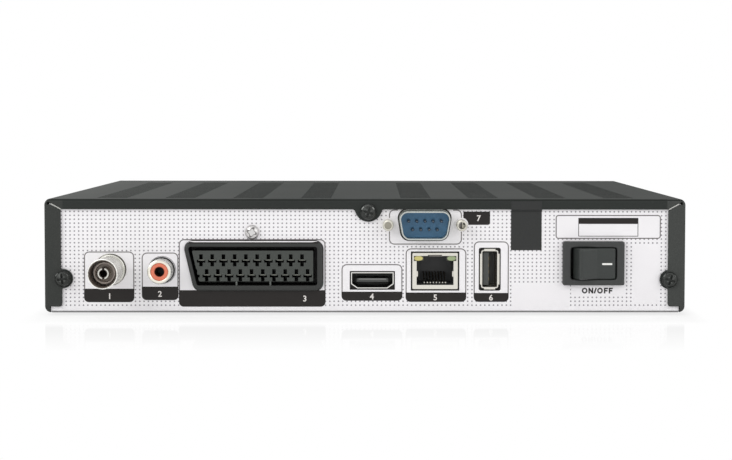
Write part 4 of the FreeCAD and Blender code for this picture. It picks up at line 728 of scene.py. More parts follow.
class ReceiverStage(bpy.types.Operator):
    """Floor, surroundings, lamps and camera"""
    bl_idname = "receiver.stage"
    bl_label = "Stage"

    # name, place, size and power of each lamp, and the point that all shine at, in metres
    LAMPS = (("overhead lamp", (-0.55, 0.25, 1.3), 1.1, 5.0),
             ("left lamp", (-1.1, -1.0, 0.8), 0.9, 7.0),
             ("right lamp", (1.2, -0.9, 0.6), 0.9, 3.5))
    LIT_POINT = 0, 0, 0.02
    FLOOR_REACH = 6.0
    # distances from the body, in metres: the mirror image fades in and out, the shade out
    MIRROR_IN = 0.004, 0.014
    MIRROR_OUT = 0.02, 0.06
    SHADE_OUT = 0.0, 0.006

    def execute(self, context):
        settings = context.scene.receiver_stage
        context.scene.view_settings.view_transform = "Standard"
        self.make_camera(context, settings)
        self.make_surroundings(context, settings)
        self.make_lamps(context, settings)
        self.make_floor(context, settings)
        return {"FINISHED"}

    def make_camera(self, context, settings):
        """Camera at the eye, turned by yaw, pitch and roll."""
        yaw, pitch, roll = settings.aim
        ahead = Vector((math.sin(yaw) * math.cos(pitch), math.cos(yaw) * math.cos(pitch),
                        -math.sin(pitch)))
        right = Vector((math.cos(yaw), -math.sin(yaw), 0))
        up = right.cross(ahead)
        across = right * math.cos(roll) + up * math.sin(roll)
        upward = up * math.cos(roll) - right * math.sin(roll)
        lens = bpy.data.cameras.new("camera")
        lens.lens, lens.sensor_width, lens.sensor_fit = settings.lens, 36, "HORIZONTAL"
        lens.shift_x, lens.shift_y = settings.shift
        lens.clip_start, lens.clip_end = 0.01, 50
        camera = bpy.data.objects.new("camera", lens)
        turned = Matrix((across, upward, -ahead)).transposed().to_4x4()
        camera.matrix_world = Matrix.Translation(settings.eye) @ turned
        context.scene.collection.objects.link(camera)
        context.scene.camera = camera

    def make_surroundings(self, context, settings):
        """White surroundings that light the object more weakly than they look."""
        world = bpy.data.worlds.new("surroundings")
        world.use_nodes = True
        tree = world.node_tree
        tree.nodes.clear()
        strength = ramp(tree, seen_rays(tree), 0.0, 1.0, settings.sky, 1.0)
        glow = add(tree, "Background", Strength=strength, Color=(1, 1, 1, 1))
        feed(tree, add(tree, "OutputWorld").inputs["Surface"], glow.outputs[0])
        context.scene.world = world

    def make_lamps(self, context, settings):
        """Square lamps that shine at the object."""
        for name, place, size, power in self.LAMPS:
            lamp = bpy.data.lights.new(name, "AREA")
            lamp.shape, lamp.size, lamp.energy = "SQUARE", size, power * settings.lamp
            holder = bpy.data.objects.new(name, lamp)
            holder.location = place
            toward = Vector(self.LIT_POINT) - Vector(place)
            holder.rotation_euler = toward.to_track_quat("-Z", "Y").to_euler()
            context.scene.collection.objects.link(holder)

    def make_floor(self, context, settings):
        """White floor with a thin shadow and a short mirror image round the body."""
        reach = self.FLOOR_REACH
        _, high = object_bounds()
        mesh = bpy.data.meshes.new("floor")
        mesh.from_pydata([(-reach, -reach, 0), (reach, -reach, 0), (reach, reach, 0),
                          (-reach, reach, 0)], [], [(0, 1, 2, 3)])
        floor = bpy.data.objects.new("floor", mesh)
        context.scene.collection.objects.link(floor)
        material = bpy.data.materials.new("pale floor")
        material.use_nodes = True
        tree = material.node_tree
        tree.nodes.clear()
        place = split_place(tree)
        beyond = [reckon(tree, "MAXIMUM",
                         reckon(tree, "SUBTRACT", reckon(tree, "ABSOLUTE", place[axis]),
                                high[axis]), 0.0) for axis in (0, 1)]
        away = reckon(tree, "SQRT", reckon(
            tree, "ADD", *[reckon(tree, "MULTIPLY", value, value) for value in beyond]))
        share = reckon(tree, "MULTIPLY", ramp(tree, away, *self.MIRROR_IN, 0.0, settings.mirror),
                       ramp(tree, away, *self.MIRROR_OUT, 1.0, 0.0))
        shown = ramp(tree, away, *self.SHADE_OUT, settings.shade, 0.0)
        plain = add(tree, "BsdfDiffuse", Color=(0.9, 0.9, 0.9, 1)).outputs[0]
        white = add(tree, "Emission", Color=(1, 1, 1, 1)).outputs[0]
        blank = reckon(tree, "MULTIPLY", seen_rays(tree), reckon(tree, "SUBTRACT", 1.0, shown))
        ground = add(tree, "MixShader", blank, plain, white).outputs[0]
        mirror = add(tree, "BsdfGlossy", Color=(1, 1, 1, 1), Roughness=0.06).outputs[0]
        both = add(tree, "MixShader", share, ground, mirror).outputs[0]
        feed(tree, add(tree, "OutputMaterial").inputs["Surface"], both)
        mesh.materials.append(material)
        floor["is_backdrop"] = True


# ---------------------------------------------------------------------------- cover

class ReceiverCover(bpy.types.Operator):
    """Cover, its screws, the seal label and the feet"""
    bl_idname = "receiver.cover"
    bl_label = "Cover"

    REAR = PANEL_FACE + 0.3         # along, the cover's rear faces lie behind this
    RETURN_EDGE = 102.6, 102.9      # across, where the narrow returns begin
    BEND_SHADE_LINE = (39.15, 39.3), (39.7, 39.55)    # up, the painted shade line under the top's rear bend
    TOP_FACE = 39.7                 # up, only the top's outer face is higher
    RUBBED = -30, -109              # across, a painted sheen makes the top lighter towards its left end
    # painted light: the lighter right return, the painted sheen on the top, and the painted shade
    # under the bend
    RIGHT_RETURN, RUBBED_PAINT, BEND_SHADE = tone(67, 69, 67), tone(74, 76, 74), tone(24, 27, 25)
    # middle across and up, turn of the cross, and the shade of each arc of light on the rim
    SCREWS = ((-102.75, 12.6, -7, (1, 0, 0)), (103.65, 12.3, 19, (1, 0, 0)),
              (0.9, 35.3, 16, (2, 0, 2)))
    # radius, start and end in degrees, width, and its places behind the crown
    RIM_ARCS = ((2.45, 128, 156, 0.34, 0.35, 1.1), (2.2, 62, 122, 0.2, 0.26, 0.9),
                (2.2, 28, 52, 0.3, 0.26, 0.9))
    CROSS_CORNER = 1.0, 0.26        # distance from the middle, and radius of the glint
    # outer and inner end of the joint at an upper corner, across and up, and its width
    MITRE, MITRE_WIDTH = ((106.7, 38.15), (103.35, 36.3)), 0.24

    def execute(self, context):
        settings = context.scene.receiver_cover
        dress(Finish(
            "cover paint", settings.paint, rough=(0.78, 0.95), bump=settings.relief,
            relief=0.12, mottle=0.06, edge=0.25, grain=420, wear=tone(130, 132, 130),
            wear_amount=0.25, dust=0.02, pattern=self.powder(settings),
            Specular_IOR_Level=settings.sheen).material, "top_cover")
        # the screws' light worn edges are partly wear and partly a painted highlight on the edges
        dress(metal("blackened screw", settings.screw, (0.25, 0.4), metallic=0.6, bump=0.1,
                    edge=0.22, wear=tone(130, 132, 128), wear_amount=0.8), "cover_screws")
        dress(plastic("label film", settings.label, (0.45, 0.6), grain=1800, bump=0.06,
                      mottle=0.1, edge=0.05), "seal_label")
        dress(plastic("foot rubber", tone(30, 30, 30), (0.75, 0.95), grain=2200, bump=0.2,
                      edge=0.3, dust=0.15), "rubber_feet")
        self.painted_screw_glints()
        self.mitre_edges()
        return {"FINISHED"}

    def powder(self, settings):
        """Powder coat, with painted light: lighter returns, lighter still on the right, a painted
        sheen on the top towards its left end, and a painted shade line under the rear bend.
        """
        def faded(tree, value, ends):
            return ramp(tree, value, *(end * MM for end in ends))

        def pattern(finish):
            tree = finish.tree
            coat = use(tree, "Powder coat", Grain_size=settings.grain)
            finish.height = coat["Height"]
            finish.grain = coat["Fleck"]
            across, along, up = split_place(tree)
            behind = reckon(tree, "LESS_THAN", along, self.REAR * MM)
            # painted light: the returns at the sides get a lighter paint colour, lightest on the
            # right
            aside = reckon(tree, "MULTIPLY", behind, faded(
                tree, reckon(tree, "ABSOLUTE", across), self.RETURN_EDGE))
            right = reckon(tree, "GREATER_THAN", across, 0.0)
            returns = blend_colour(tree, right, settings.returns, self.RIGHT_RETURN)
            colour = blend_colour(tree, aside, settings.paint, returns)
            # painted sheen: the top's outer face gets lighter towards its left end
            sheen_mask = reckon(tree, "MULTIPLY",
                          reckon(tree, "GREATER_THAN", up, self.TOP_FACE * MM),
                          faded(tree, across, self.RUBBED))
            colour = blend_colour(tree, sheen_mask, colour, self.RUBBED_PAINT)
            # painted shade: a dark line under the top's rear bend
            under = reckon(tree, "MULTIPLY", *(faded(tree, up, ends) for ends in self.BEND_SHADE_LINE))
            colour = blend_colour(tree, reckon(tree, "MULTIPLY", behind, under), colour,
                                  self.BEND_SHADE)
            return use(tree, "Mottled colour", Colour=colour, Amount=0.35,
                       Cloud=coat["Fleck"])["Colour"]
        return pattern

    def painted_screw_glints(self):
        """Painted highlights on the three screws: glints on part of the rim and at the corners of
        the cross.
        """
        shades = [metal(name, colour, (0.25, 0.4), edge=0.03) for name, colour in (
            ("painted corner glint", tone(92, 94, 92)), ("painted rim glint", tone(112, 114, 112)),
            ("bright painted glint", tone(158, 160, 157)))]
        crown = panel_side("cover_screws")
        reach, spot = self.CROSS_CORNER
        glints = Piece()
        for x, z, turn, looks in self.SCREWS:
            for (radius, start, end, width, front, back), look in zip(self.RIM_ARCS, looks):
                glints.prism(stroke(arc(x, z, radius, start, end, 8), width), crown + front,
                             crown + back, look=look)
            for quarter in range(4):
                angle = math.radians(45 + 90 * quarter - turn)
                glints.prism(disc(x + reach * math.cos(angle), z + reach * math.sin(angle),
                                  spot, 8), crown - 0.02, crown + 0.4)
        glints.make("painted_screw_glints", "cabinet", "black_screw", *shades)

    def mitre_edges(self):
        """The bare metal that shows in the joints at the upper corners."""
        face = panel_side("top_cover")
        edges = Piece()
        for side in (-1, 1):
            edges.prism(stroke([(side * x, z) for x, z in self.MITRE], self.MITRE_WIDTH),
                        face - 0.02, face + 0.3)
        edges.make("mitre_edges", "cabinet", "cover_paint",
                   metal("bare edge", tone(206, 206, 200), (0.35, 0.5), edge=0.03))


# ---------------------------------------------------------------------------- panel

class ReceiverPanel(bpy.types.Operator):
    """Connector panel and everything printed on it"""
    bl_idname = "receiver.panel"
    bl_label = "Connector panel"

    DOT_START = 0.98, 0.8           # middle of one printed dot, across and up
    # left, bottom, right, top, and the top of the dark band
    GROUNDS = {
        "aerial": (-95.8, 4.5, -78.75, 21.8, 9.1), "coax": (-76.2, 5.2, -63.75, 21.45, 9.8),
        "wide": (-63.6, 2.95, -13.7, 26.0, 8.6), "video": (-8.25, 5.0, 12.5, 17.5, 8.1),
        "network": (13.6, 4.6, 34.3, 22.9, 7.8), "bus": (36.85, 4.6, 48.8, 25.3, 7.65),
        "serial": (7.9, 24.2, 32.75, 36.24, None), "notice": (64.75, 26.2, 100.7, 34.35, None)}
    # left, bottom, right and top: grounds left bare, the notice's bar, the tab of figure 7
    BARE = ((49.85, 2.9, 69.55, 10.4), (91.7, 4.35, 100.2, 24.5), (70.15, 7.2, 88.75, 11.0))
    BAR = (72.5, 31.3, 93.0, 33.35)
    TAB = (33.25, 30.95, 42.35, 35.5)
    BAR_FRAME = 27.0, 0.22          # foot and line width of the frame under the bar
    FOOT_LINE, FOOT_INSET = (1.02, 1.32), 0.9   # the line along the panel's foot, up and inset
    NOTICE_CORNER = 1.0
    SERIAL_DROP, SERIAL_END = 0.25, 3   # the serial outline: below its ground's top, its ends
    SHEET_TOP = 36.24               # nothing is printed above this height
    POSTS, POST_RING = ((7.555, 31.0), (32.545, 31.0)), 2.4
    POST_LIFT, FIGURE_LIFT, EDGE_LIFT = 2.6, (3, 1.5), 2.3      # in print steps
    FIGURES = (("1", -87.15, 6.6), ("2", -70.05, 7.4), ("3", -20.75, 5.8), ("4", 2.1, 6.5),
               ("5", 23.75, 6.2), ("6", 42.75, 6.1), ("7", 38.45, 33.3))
    FIGURE_HEIGHT = 2.0
    # ON/OFF: foot, height, line and width of a letter, and half the width of an O
    WORD_LOW, WORD_TALL, WORD_LINE, WORD_WIDE, ROUND_HALF = 7.7, 1.5, 0.5, 1.15, 0.72
    # strokes of a letter on a field from 0 to 1. The uprights go on to the strokes' outer edge
    LETTER_F = (((0, -0.15), (0, 1.15)), ((0, 1), (1, 1)), ((0, 0.48), (0.85, 0.48)))
    LETTER_N = (((0, -0.15), (0, 1.15)), ((0, 1), (1, 0)), ((1, -0.15), (1, 1.15)))
    ROUND_LETTERS = 74.8, 80.05     # middles of the two letters O
    STRAIGHT_LETTERS = (76.35, LETTER_N), (81.65, LETTER_F), (83.3, LETTER_F)
    SLASH = 78.1, 78.75
    # one quarter of the bright screw's cross: angle and distance from the middle
    CROSS, CROSS_TURN = ((-18, 1.18), (0, 1.22), (18, 1.18), (45, 0.84)), 77
    CROSS_SHADE_EDGE = 0.3                # width of the painted shade round the cross
    # width of the painted shade line round the opening of each shell
    OPENING_SHADE_LINES = {"video_socket_shell": 0.2, "network_socket_shell": 0.12,
                     "bus_socket_shell": 0.15, "serial_socket_shell": 0.45}
    # dark sheets of painted shade behind the gaps round the shells: growth round the opening,
    # places along Y, and how far they reach under a shell
    GASKET_GROWTH, GASKET, UNDER_SHELL = 0.8, (-65.86, -65.6), 0.12
    NETWORK_GAP, BUS_CORNER = 0.38, 1.0

    def execute(self, context):
        settings = context.scene.receiver_panel
        dress(self.sheet_finish(settings), "chassis_pan")
        ground = self.ink("panel ground", settings.paper, rough=(0.38, 0.5), mottle=0.03)
        dark = self.ink("dark ink and painted shade", settings.ink)
        line = self.ink("line ink and recess shade", settings.line)
        holes = panel_openings()
        self.print_grounds(settings, ground, holes)
        self.print_bands(settings, dark)
        self.print_lines(settings, line)
        self.print_figures(self.ink("white figures", tone(226, 222, 218), mottle=0.05))
        self.print_switch_words(self.ink("word ink", tone(52, 50, 50)))
        # painted shade round the openings and in the gaps round the shells
        self.paint_opening_shade(dark, holes)
        dress(metal("bright screw", tone(208, 206, 205), (0.34, 0.46), grain=3000, bump=0.05,
                    edge=0.2, wear=tone(150, 148, 148), wear_amount=0.6), "panel_screw")
        self.screw_recess(line)
        return {"FINISHED"}

    def ink(self, name, colour, rough=(0.42, 0.52), mottle=0.12):
        """Material of a print on the panel."""
        return printed(name, colour, rough, mottle=mottle, Specular_IOR_Level=0.3)

    def sheet_finish(self, settings):
        """Printed on the outer face, bare steel on the others."""
        def pattern(finish):
            tree = finish.tree
            dots = use(tree, "Dot print", Paper=settings.paper, Ink=settings.dot,
                       Pitch_across=settings.pitch_across, Pitch_up=settings.pitch_up,
                       Start_across=self.DOT_START[0] * MM, Start_up=self.DOT_START[1] * MM,
                       Radius=settings.dot_radius, Lowest=settings.lowest_row)
            behind = use(tree, "Facing", Direction=(0, -1, 0))["Mask"]
            inward = use(tree, "Place", Middle=(0, (PANEL_FACE + 0.1) * MM, 0))["Beyond"]
            painted = reckon(tree, "MULTIPLY", behind, reckon(tree, "LESS_THAN", inward, 0.0))
            finish.metal_except(painted)
            return blend_colour(tree, painted, tone(176, 178, 180), dots["Colour"])
        return Finish("printed sheet", settings.paper, rough=(0.36, 0.5), grain=1500, bump=0.03,
                      mottle=0.03, edge=0.12, pattern=pattern).material

    def print_grounds(self, settings, material, holes):
        """Plain grounds without dots, some print steps high and cut out at the openings."""
        outlines = [(rounded(*box[:4], settings.corner / MM), 1)
                    for box in self.GROUNDS.values()]
        outlines += [(rounded(*box, 0.2), 1) for box in self.BARE]
        outlines += [(disc(x, z, self.POST_RING), self.POST_LIFT) for x, z in self.POSTS]
        plate = Piece()
        for outline, lift in outlines:
            low = [min(values) for values in zip(*outline)]
            high = [max(values) for values in zip(*outline)]
            inner = [hole for hole in holes
                     if all(low[0] < x < high[0] and low[1] < z < high[1] for x, z in hole)]
            plate.prism(outline, PANEL_FACE - lift * PRINT_STEP, PRINT_BACK, inner)
        plate.make("port_grounds", "cabinet", "panel_steel", material)

    def print_bands(self, settings, material):
        """The dark foot of each socket's ground, and the dark bars."""
        corner = settings.corner / MM
        bands = Piece()
        for left, bottom, right, _, band in self.GROUNDS.values():
            if band:
                bands.prism(rounded(left, bottom, right, band, (corner, corner, 0, 0)),
                            PRINT_FRONT, PRINT_BACK)
        left, bottom, right, _ = self.BAR
        foot, line = self.BAR_FRAME
        bands.prism(rounded(*self.BAR, 0), PRINT_FRONT, PRINT_BACK)
        bands.prism(rounded(left, foot, right, bottom, 0), PRINT_FRONT, PRINT_BACK,
                    [rounded(left + line, foot + line, right - line, bottom - 0.01, 0)])
        bands.prism(rounded(*self.TAB, (0, 0.8, 0, 0)), PRINT_FRONT, PRINT_BACK)
        bands.make("port_bands", "cabinet", "panel_steel", material)

    def print_lines(self, settings, material):
        """The thin line round each ground. A band or the top of the panel may end it."""
        width, corner = settings.outline / MM, settings.corner / MM
        lines = Piece()
        for name, (left, bottom, right, top, band) in self.GROUNDS.items():
            middle = [left + width / 2, bottom + width / 2, right - width / 2, top - width / 2]
            if band:
                arch = rounded(*middle, (0, 0, corner, corner))
                path = [(middle[2], band)] + arch[2:] + [(middle[0], band)]
                lines.prism(stroke(path, width), PRINT_FRONT, PRINT_BACK)
            elif name == "serial":
                path = rounded(*middle[:3], top - self.SERIAL_DROP, corner)
                turn = len(path) // 4
                ends = [(x, path[3 * turn][1])
                        for x in (left + self.SERIAL_END, right - self.SERIAL_END)]
                path = [ends[0]] + path[3 * turn:] + path[:3 * turn] + [ends[1]]
                lines.prism(stroke(path, width), PRINT_FRONT, PRINT_BACK)
            else:
                lines.prism(rounded(left, bottom, right, top, self.NOTICE_CORNER), PRINT_FRONT,
                            PRINT_BACK, [rounded(left + width, bottom + width, right - width,
                                                 top - width, self.NOTICE_CORNER - width)])
        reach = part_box("chassis_pan")[1].x / MM - self.FOOT_INSET
        low, high = self.FOOT_LINE
        lines.prism(rounded(-reach, low, reach, high, 0), PRINT_FRONT, PRINT_BACK)
        lines.make("port_outlines", "cabinet", "panel_steel", material)

    def print_figures(self, material):
        """A number on each band."""
        front, back = (PANEL_FACE - lift * PRINT_STEP for lift in self.FIGURE_LIFT)
        figures = Piece()
        for text, x, z in self.FIGURES:
            figures.lettering(text, x, z, self.FIGURE_HEIGHT, front, back)
        figures.make("port_figures", "cabinet", "panel_steel", material)

    def print_switch_words(self, material):
        """ON/OFF below the switch, in even strokes."""
        low, tall, line = self.WORD_LOW, self.WORD_TALL, self.WORD_LINE
        words = Piece()
        for x in self.ROUND_LETTERS:
            around = [math.radians(angle) for angle in range(0, 360, 15)]
            outer, inner = ([(x + (self.ROUND_HALF + by) * math.cos(a), low + tall / 2
                              + (tall / 2 + by) * math.sin(a)) for a in around]
                            for by in (line / 2, -line / 2))
            words.prism(outer, PRINT_FRONT, PRINT_BACK, [inner])
        paths = [[(start + x * self.WORD_WIDE, low + z * tall) for x, z in path]
                 for start, letter in self.STRAIGHT_LETTERS for path in letter]
        paths.append([(self.SLASH[0], low - 0.2), (self.SLASH[1], low + tall + 0.2)])
        for path in paths:
            words.prism(stroke(path, line), PRINT_FRONT, PRINT_BACK)
        words.make("switch_words", "cabinet", "panel_steel", material)

    def paint_opening_shade(self, material, holes):
        """Painted shade: dark lines round the openings, and dark sheets behind the gaps round the
        shells.
        """
        edges, shade_sheets = Piece(), Piece()
        under = self.UNDER_SHELL
        for node, line in self.OPENING_SHADE_LINES.items():
            low, high = span(node)
            middle = ((low.x + high.x) / 2, (low.z + high.z) / 2)
            hole = min(holes, key=lambda o: math.dist(
                middle, [(min(values) + max(values)) / 2 for values in zip(*o)]))
            edges.prism(grown(hole, line, self.SHEET_TOP),
                        PANEL_FACE - self.EDGE_LIFT * PRINT_STEP, PRINT_BACK, [hole])
            shell = {
                "video_socket_shell": chamfered(*ReceiverDataSockets.VIDEO_MOUTH, under),
                "network_socket_shell": grown(hole, -self.NETWORK_GAP),
                "bus_socket_shell": rounded(low.x + under, low.z + under, high.x - under,
                                            high.z - under, self.BUS_CORNER),
            }.get(node)
            if shell:
                shade_sheets.prism(grown(hole, self.GASKET_GROWTH), *self.GASKET, [shell])
        edges.make("opening_shade_lines", "cabinet", "panel_steel", material)
        shade_sheets.make("gap_shade_sheets", "cabinet", "black_moulding", material)

    def screw_recess(self, line):
        """Light floor of the bright screw's cross, and a dark edge round it, painted as the shade
        in the recess.
        """
        x, _, z = middle_of("panel_screw") / MM
        crown = panel_side("panel_screw")
        outline = []
        for quarter in range(4):
            for angle, reach in self.CROSS:
                turn = math.radians(self.CROSS_TURN + 90 * quarter + angle)
                outline.append((x + reach * math.cos(turn), z + reach * math.sin(turn)))
        recess = Piece()
        recess.prism(grown(outline, self.CROSS_SHADE_EDGE), crown - 0.03, crown + 0.6)
        recess.prism(outline, crown - 0.05, crown + 0.6, look=1)
        recess.make("screw_recess", "cabinet", "bright_screw", line,
                    metal("recess floor", tone(214, 213, 212), (0.4, 0.5), edge=0.03))


# ---------------------------------------------------------------------------- sockets

class ReceiverRoundSockets(bpy.types.Operator):
    """Aerial socket and coaxial socket"""
    bl_idname = "receiver.round_sockets"
    bl_label = "Round sockets"

    PLATED = dict(rough=(0.25, 0.3), grain=1600, bump=0.006, mottle=0.02, edge=0.12)
    WORN_PLATED = dict(PLATED, wear=tone(246, 242, 234), wear_amount=0.3)
    BARREL_BORE, TUBE_BORE, TUBE_SLIT = 4.68, 1.42, 0.42        # radii of the painted shade in the bores, and half the width of the shaded slit
    # the coaxial socket: its collar's place before the panel, the radius within which the collar
    # is painted dark as shade, and the pale mouth's edge
    COLLAR_PLACE, COLLAR_RADIUS, MOUTH_EDGE = 0.9, 4.5, (3.6, 3.8)
    PIN_HOLE = 1.62, 1.72           # radii between which the hole's painted shade fades out
    # radius, and where it lies behind the barrel's tip
    ROLLED_RIM = ((4.66, 0.04), (4.74, -0.06), (4.9, -0.06), (5.02, 0.08), (5.0, 0.4),
                  (4.66, 0.4))

    def execute(self, context):
        colours = context.scene.receiver_sockets
        bright = tone(218, 217, 210)
        dress(metal("nickel plate", colours.nickel, **self.WORN_PLATED),
              "power_switch_terminals")
        dress(metal("aerial barrel", bright, **self.PLATED,
                    pattern=self.painted_bore_shade(self.BARREL_BORE, bright, tone(98, 88, 80))),
              "aerial_socket_barrel")
        dress(metal("aerial contact", bright, **self.WORN_PLATED,
                    pattern=self.painted_bore_shade(self.TUBE_BORE, bright, tone(58, 48, 42),
                                           self.TUBE_SLIT)),
              "aerial_socket_contact")
        self.rolled_rim(metal("rolled rim", tone(250, 249, 244), **self.WORN_PLATED))
        dress(metal("coax barrel", colours.nickel, **self.WORN_PLATED,
                    pattern=self.painted_collar_shade), "coax_socket_barrel")
        dress(plastic("grey core", tone(190, 178, 168), (0.4, 0.6), grain=1800, bump=0.1,
                      mottle=0.12, edge=0.12), "aerial_socket_insulator")
        dress(plastic("orange insert", colours.orange, (0.35, 0.5), grain=1800, bump=0.06,
                      mottle=0.06, pattern=self.painted_hole_shade(colours.orange)),
              "coax_socket_insulator")
        dress(plastic("black moulding", tone(44, 44, 45)), "coax_socket_body")
        return {"FINISHED"}

    def painted_bore_shade(self, radius, plating, inside, slit=0.0):
        """Painted shade: dark within a radius of the aerial socket's axis, where the bore lies in
        shade, and in an upright slit.
        """
        def pattern(finish):
            tree = finish.tree
            middle = middle_of("aerial_socket_contact")
            inner = reckon(tree, "LESS_THAN", use(tree, "Place", Middle=middle)["Away"],
                           radius * MM)
            aside = reckon(tree, "ABSOLUTE", split_place(tree, middle)[0])
            inner = reckon(tree, "MAXIMUM", inner,
                           reckon(tree, "LESS_THAN", aside, slit * MM))
            finish.metal_except(inner)
            return blend_colour(tree, inner, plating, inside)
        return pattern

    def painted_collar_shade(self, finish):
        """A pale mouth, a collar at the panel painted dark as shade, and a pale washer round it.
        """
        tree = finish.tree
        foot = middle_of("coax_socket_barrel")
        foot.y = (PANEL_FACE - self.COLLAR_PLACE) * MM
        place = use(tree, "Place", Middle=foot)
        collar = reckon(tree, "GREATER_THAN", place["Beyond"], 0.0)
        outer = reckon(tree, "GREATER_THAN", place["Away"], self.COLLAR_RADIUS * MM)
        side = ramp(tree, place["Away"], *(radius * MM for radius in self.MOUTH_EDGE))
        ring = blend_colour(tree, side, tone(244, 238, 224), tone(204, 204, 198))
        washer = blend_colour(tree, outer, tone(46, 45, 46), tone(236, 235, 237))
        finish.metal_except(reckon(tree, "MULTIPLY", collar, outer))
        return blend_colour(tree, collar, ring, washer)

    def painted_hole_shade(self, orange):
        """The hole for the plug's pin, painted dark as shade."""
        def pattern(finish):
            away = use(finish.tree, "Place", Middle=middle_of("coax_socket_insulator"))["Away"]
            edge = ramp(finish.tree, away, *(radius * MM for radius in self.PIN_HOLE))
            return blend_colour(finish.tree, edge, tone(66, 26, 14), orange)
        return pattern

    def rolled_rim(self, material):
        """The bright rolled edge at the mouth of the aerial socket."""
        x, _, z = middle_of("aerial_socket_contact") / MM
        tip = panel_side("aerial_socket_barrel")
        rim = Piece()
        rim.turned(x, z, [(radius, tip + behind) for radius, behind in self.ROLLED_RIM])
        rim.make("aerial_rim", "cabinet", "nickel", material)


class ReceiverWideSocket(bpy.types.Operator):
    """The 21-way audio and video socket"""
    bl_idname = "receiver.wide_socket"
    bl_label = "Wide socket"

    MOULDED = dict(rough=(0.4, 0.58), grain=1300, bump=0.1, relief=0.06, mottle=0.08, edge=0.22,
                   wear=tone(130, 134, 130), wear_amount=0.3)
    RIBS, RIB_HALF = (-43.95, -32.45), 0.28
    # the lip over the frame: across, and up from the frame's top
    LIP = ((-58.2, -0.26), (-18.2, -0.26), (-16.4, -0.02), (-17.2, 0.04), (-59.2, 0.04),
           (-60.0, -0.02))

    def execute(self, context):
        colours = context.scene.receiver_sockets
        block = tone(56, 60, 56)
        dress(plastic("dark moulding", colours.moulding, **self.MOULDED,
                      pattern=self.painted_shade_behind(-0.35, colours.moulding)), "av_socket_frame")
        dress(plastic("block moulding", block, **self.MOULDED,
                      pattern=self.painted_shade_behind(-0.75, block)), "av_socket_block")
        dress(metal("dull blade", tone(128, 130, 122), (0.3, 0.45), grain=1600, edge=0.08),
              "av_socket_contacts")
        self.cavity_ribs()
        self.upper_lip()
        return {"FINISHED"}

    def painted_shade_behind(self, depth, colour):
        """The moulding's colour, and near black as painted shade deeper than the given place at
        the panel.
        """
        def pattern(finish):
            level = Vector((0, (PANEL_FACE + depth) * MM, 0))
            beyond = use(finish.tree, "Place", Middle=level)["Beyond"]
            return blend_colour(finish.tree, ramp(finish.tree, beyond, -0.1 * MM, 0.1 * MM),
                                colour, tone(20, 20, 20))
        return pattern

    def cavity_ribs(self):
        """Two ribs between the frame and the block."""
        low, block_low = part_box("av_socket_frame")[0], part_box("av_socket_block")[0]
        ribs = Piece()
        for x in self.RIBS:
            ribs.prism(rounded(x - self.RIB_HALF, low.z / MM + 1.75, x + self.RIB_HALF,
                               block_low.z / MM + 0.02, 0), PANEL_FACE - 0.9, PANEL_FACE + 0.2)
        ribs.make("wide_socket_ribs", "cabinet", "grey_moulding",
                  plastic("rib moulding", tone(90, 94, 90), **self.MOULDED))

    def upper_lip(self):
        """The pale edge of the sheet over the frame, and the dark joint under it."""
        face = panel_side("av_socket_frame")
        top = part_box("av_socket_frame")[1].z / MM
        lip = Piece()
        lip.prism([(x, top + up) for x, up in self.LIP], face - 0.05, face + 0.8)
        lip.prism(rounded(-60.2, top - 0.72, -16.2, top - 0.27, 0.2), face - 0.03, face + 0.5,
                  look=1)
        lip.make("wide_socket_lip", "cabinet", "panel_steel",
                 bpy.data.materials["panel ground"], bpy.data.materials["dark ink and painted shade"])


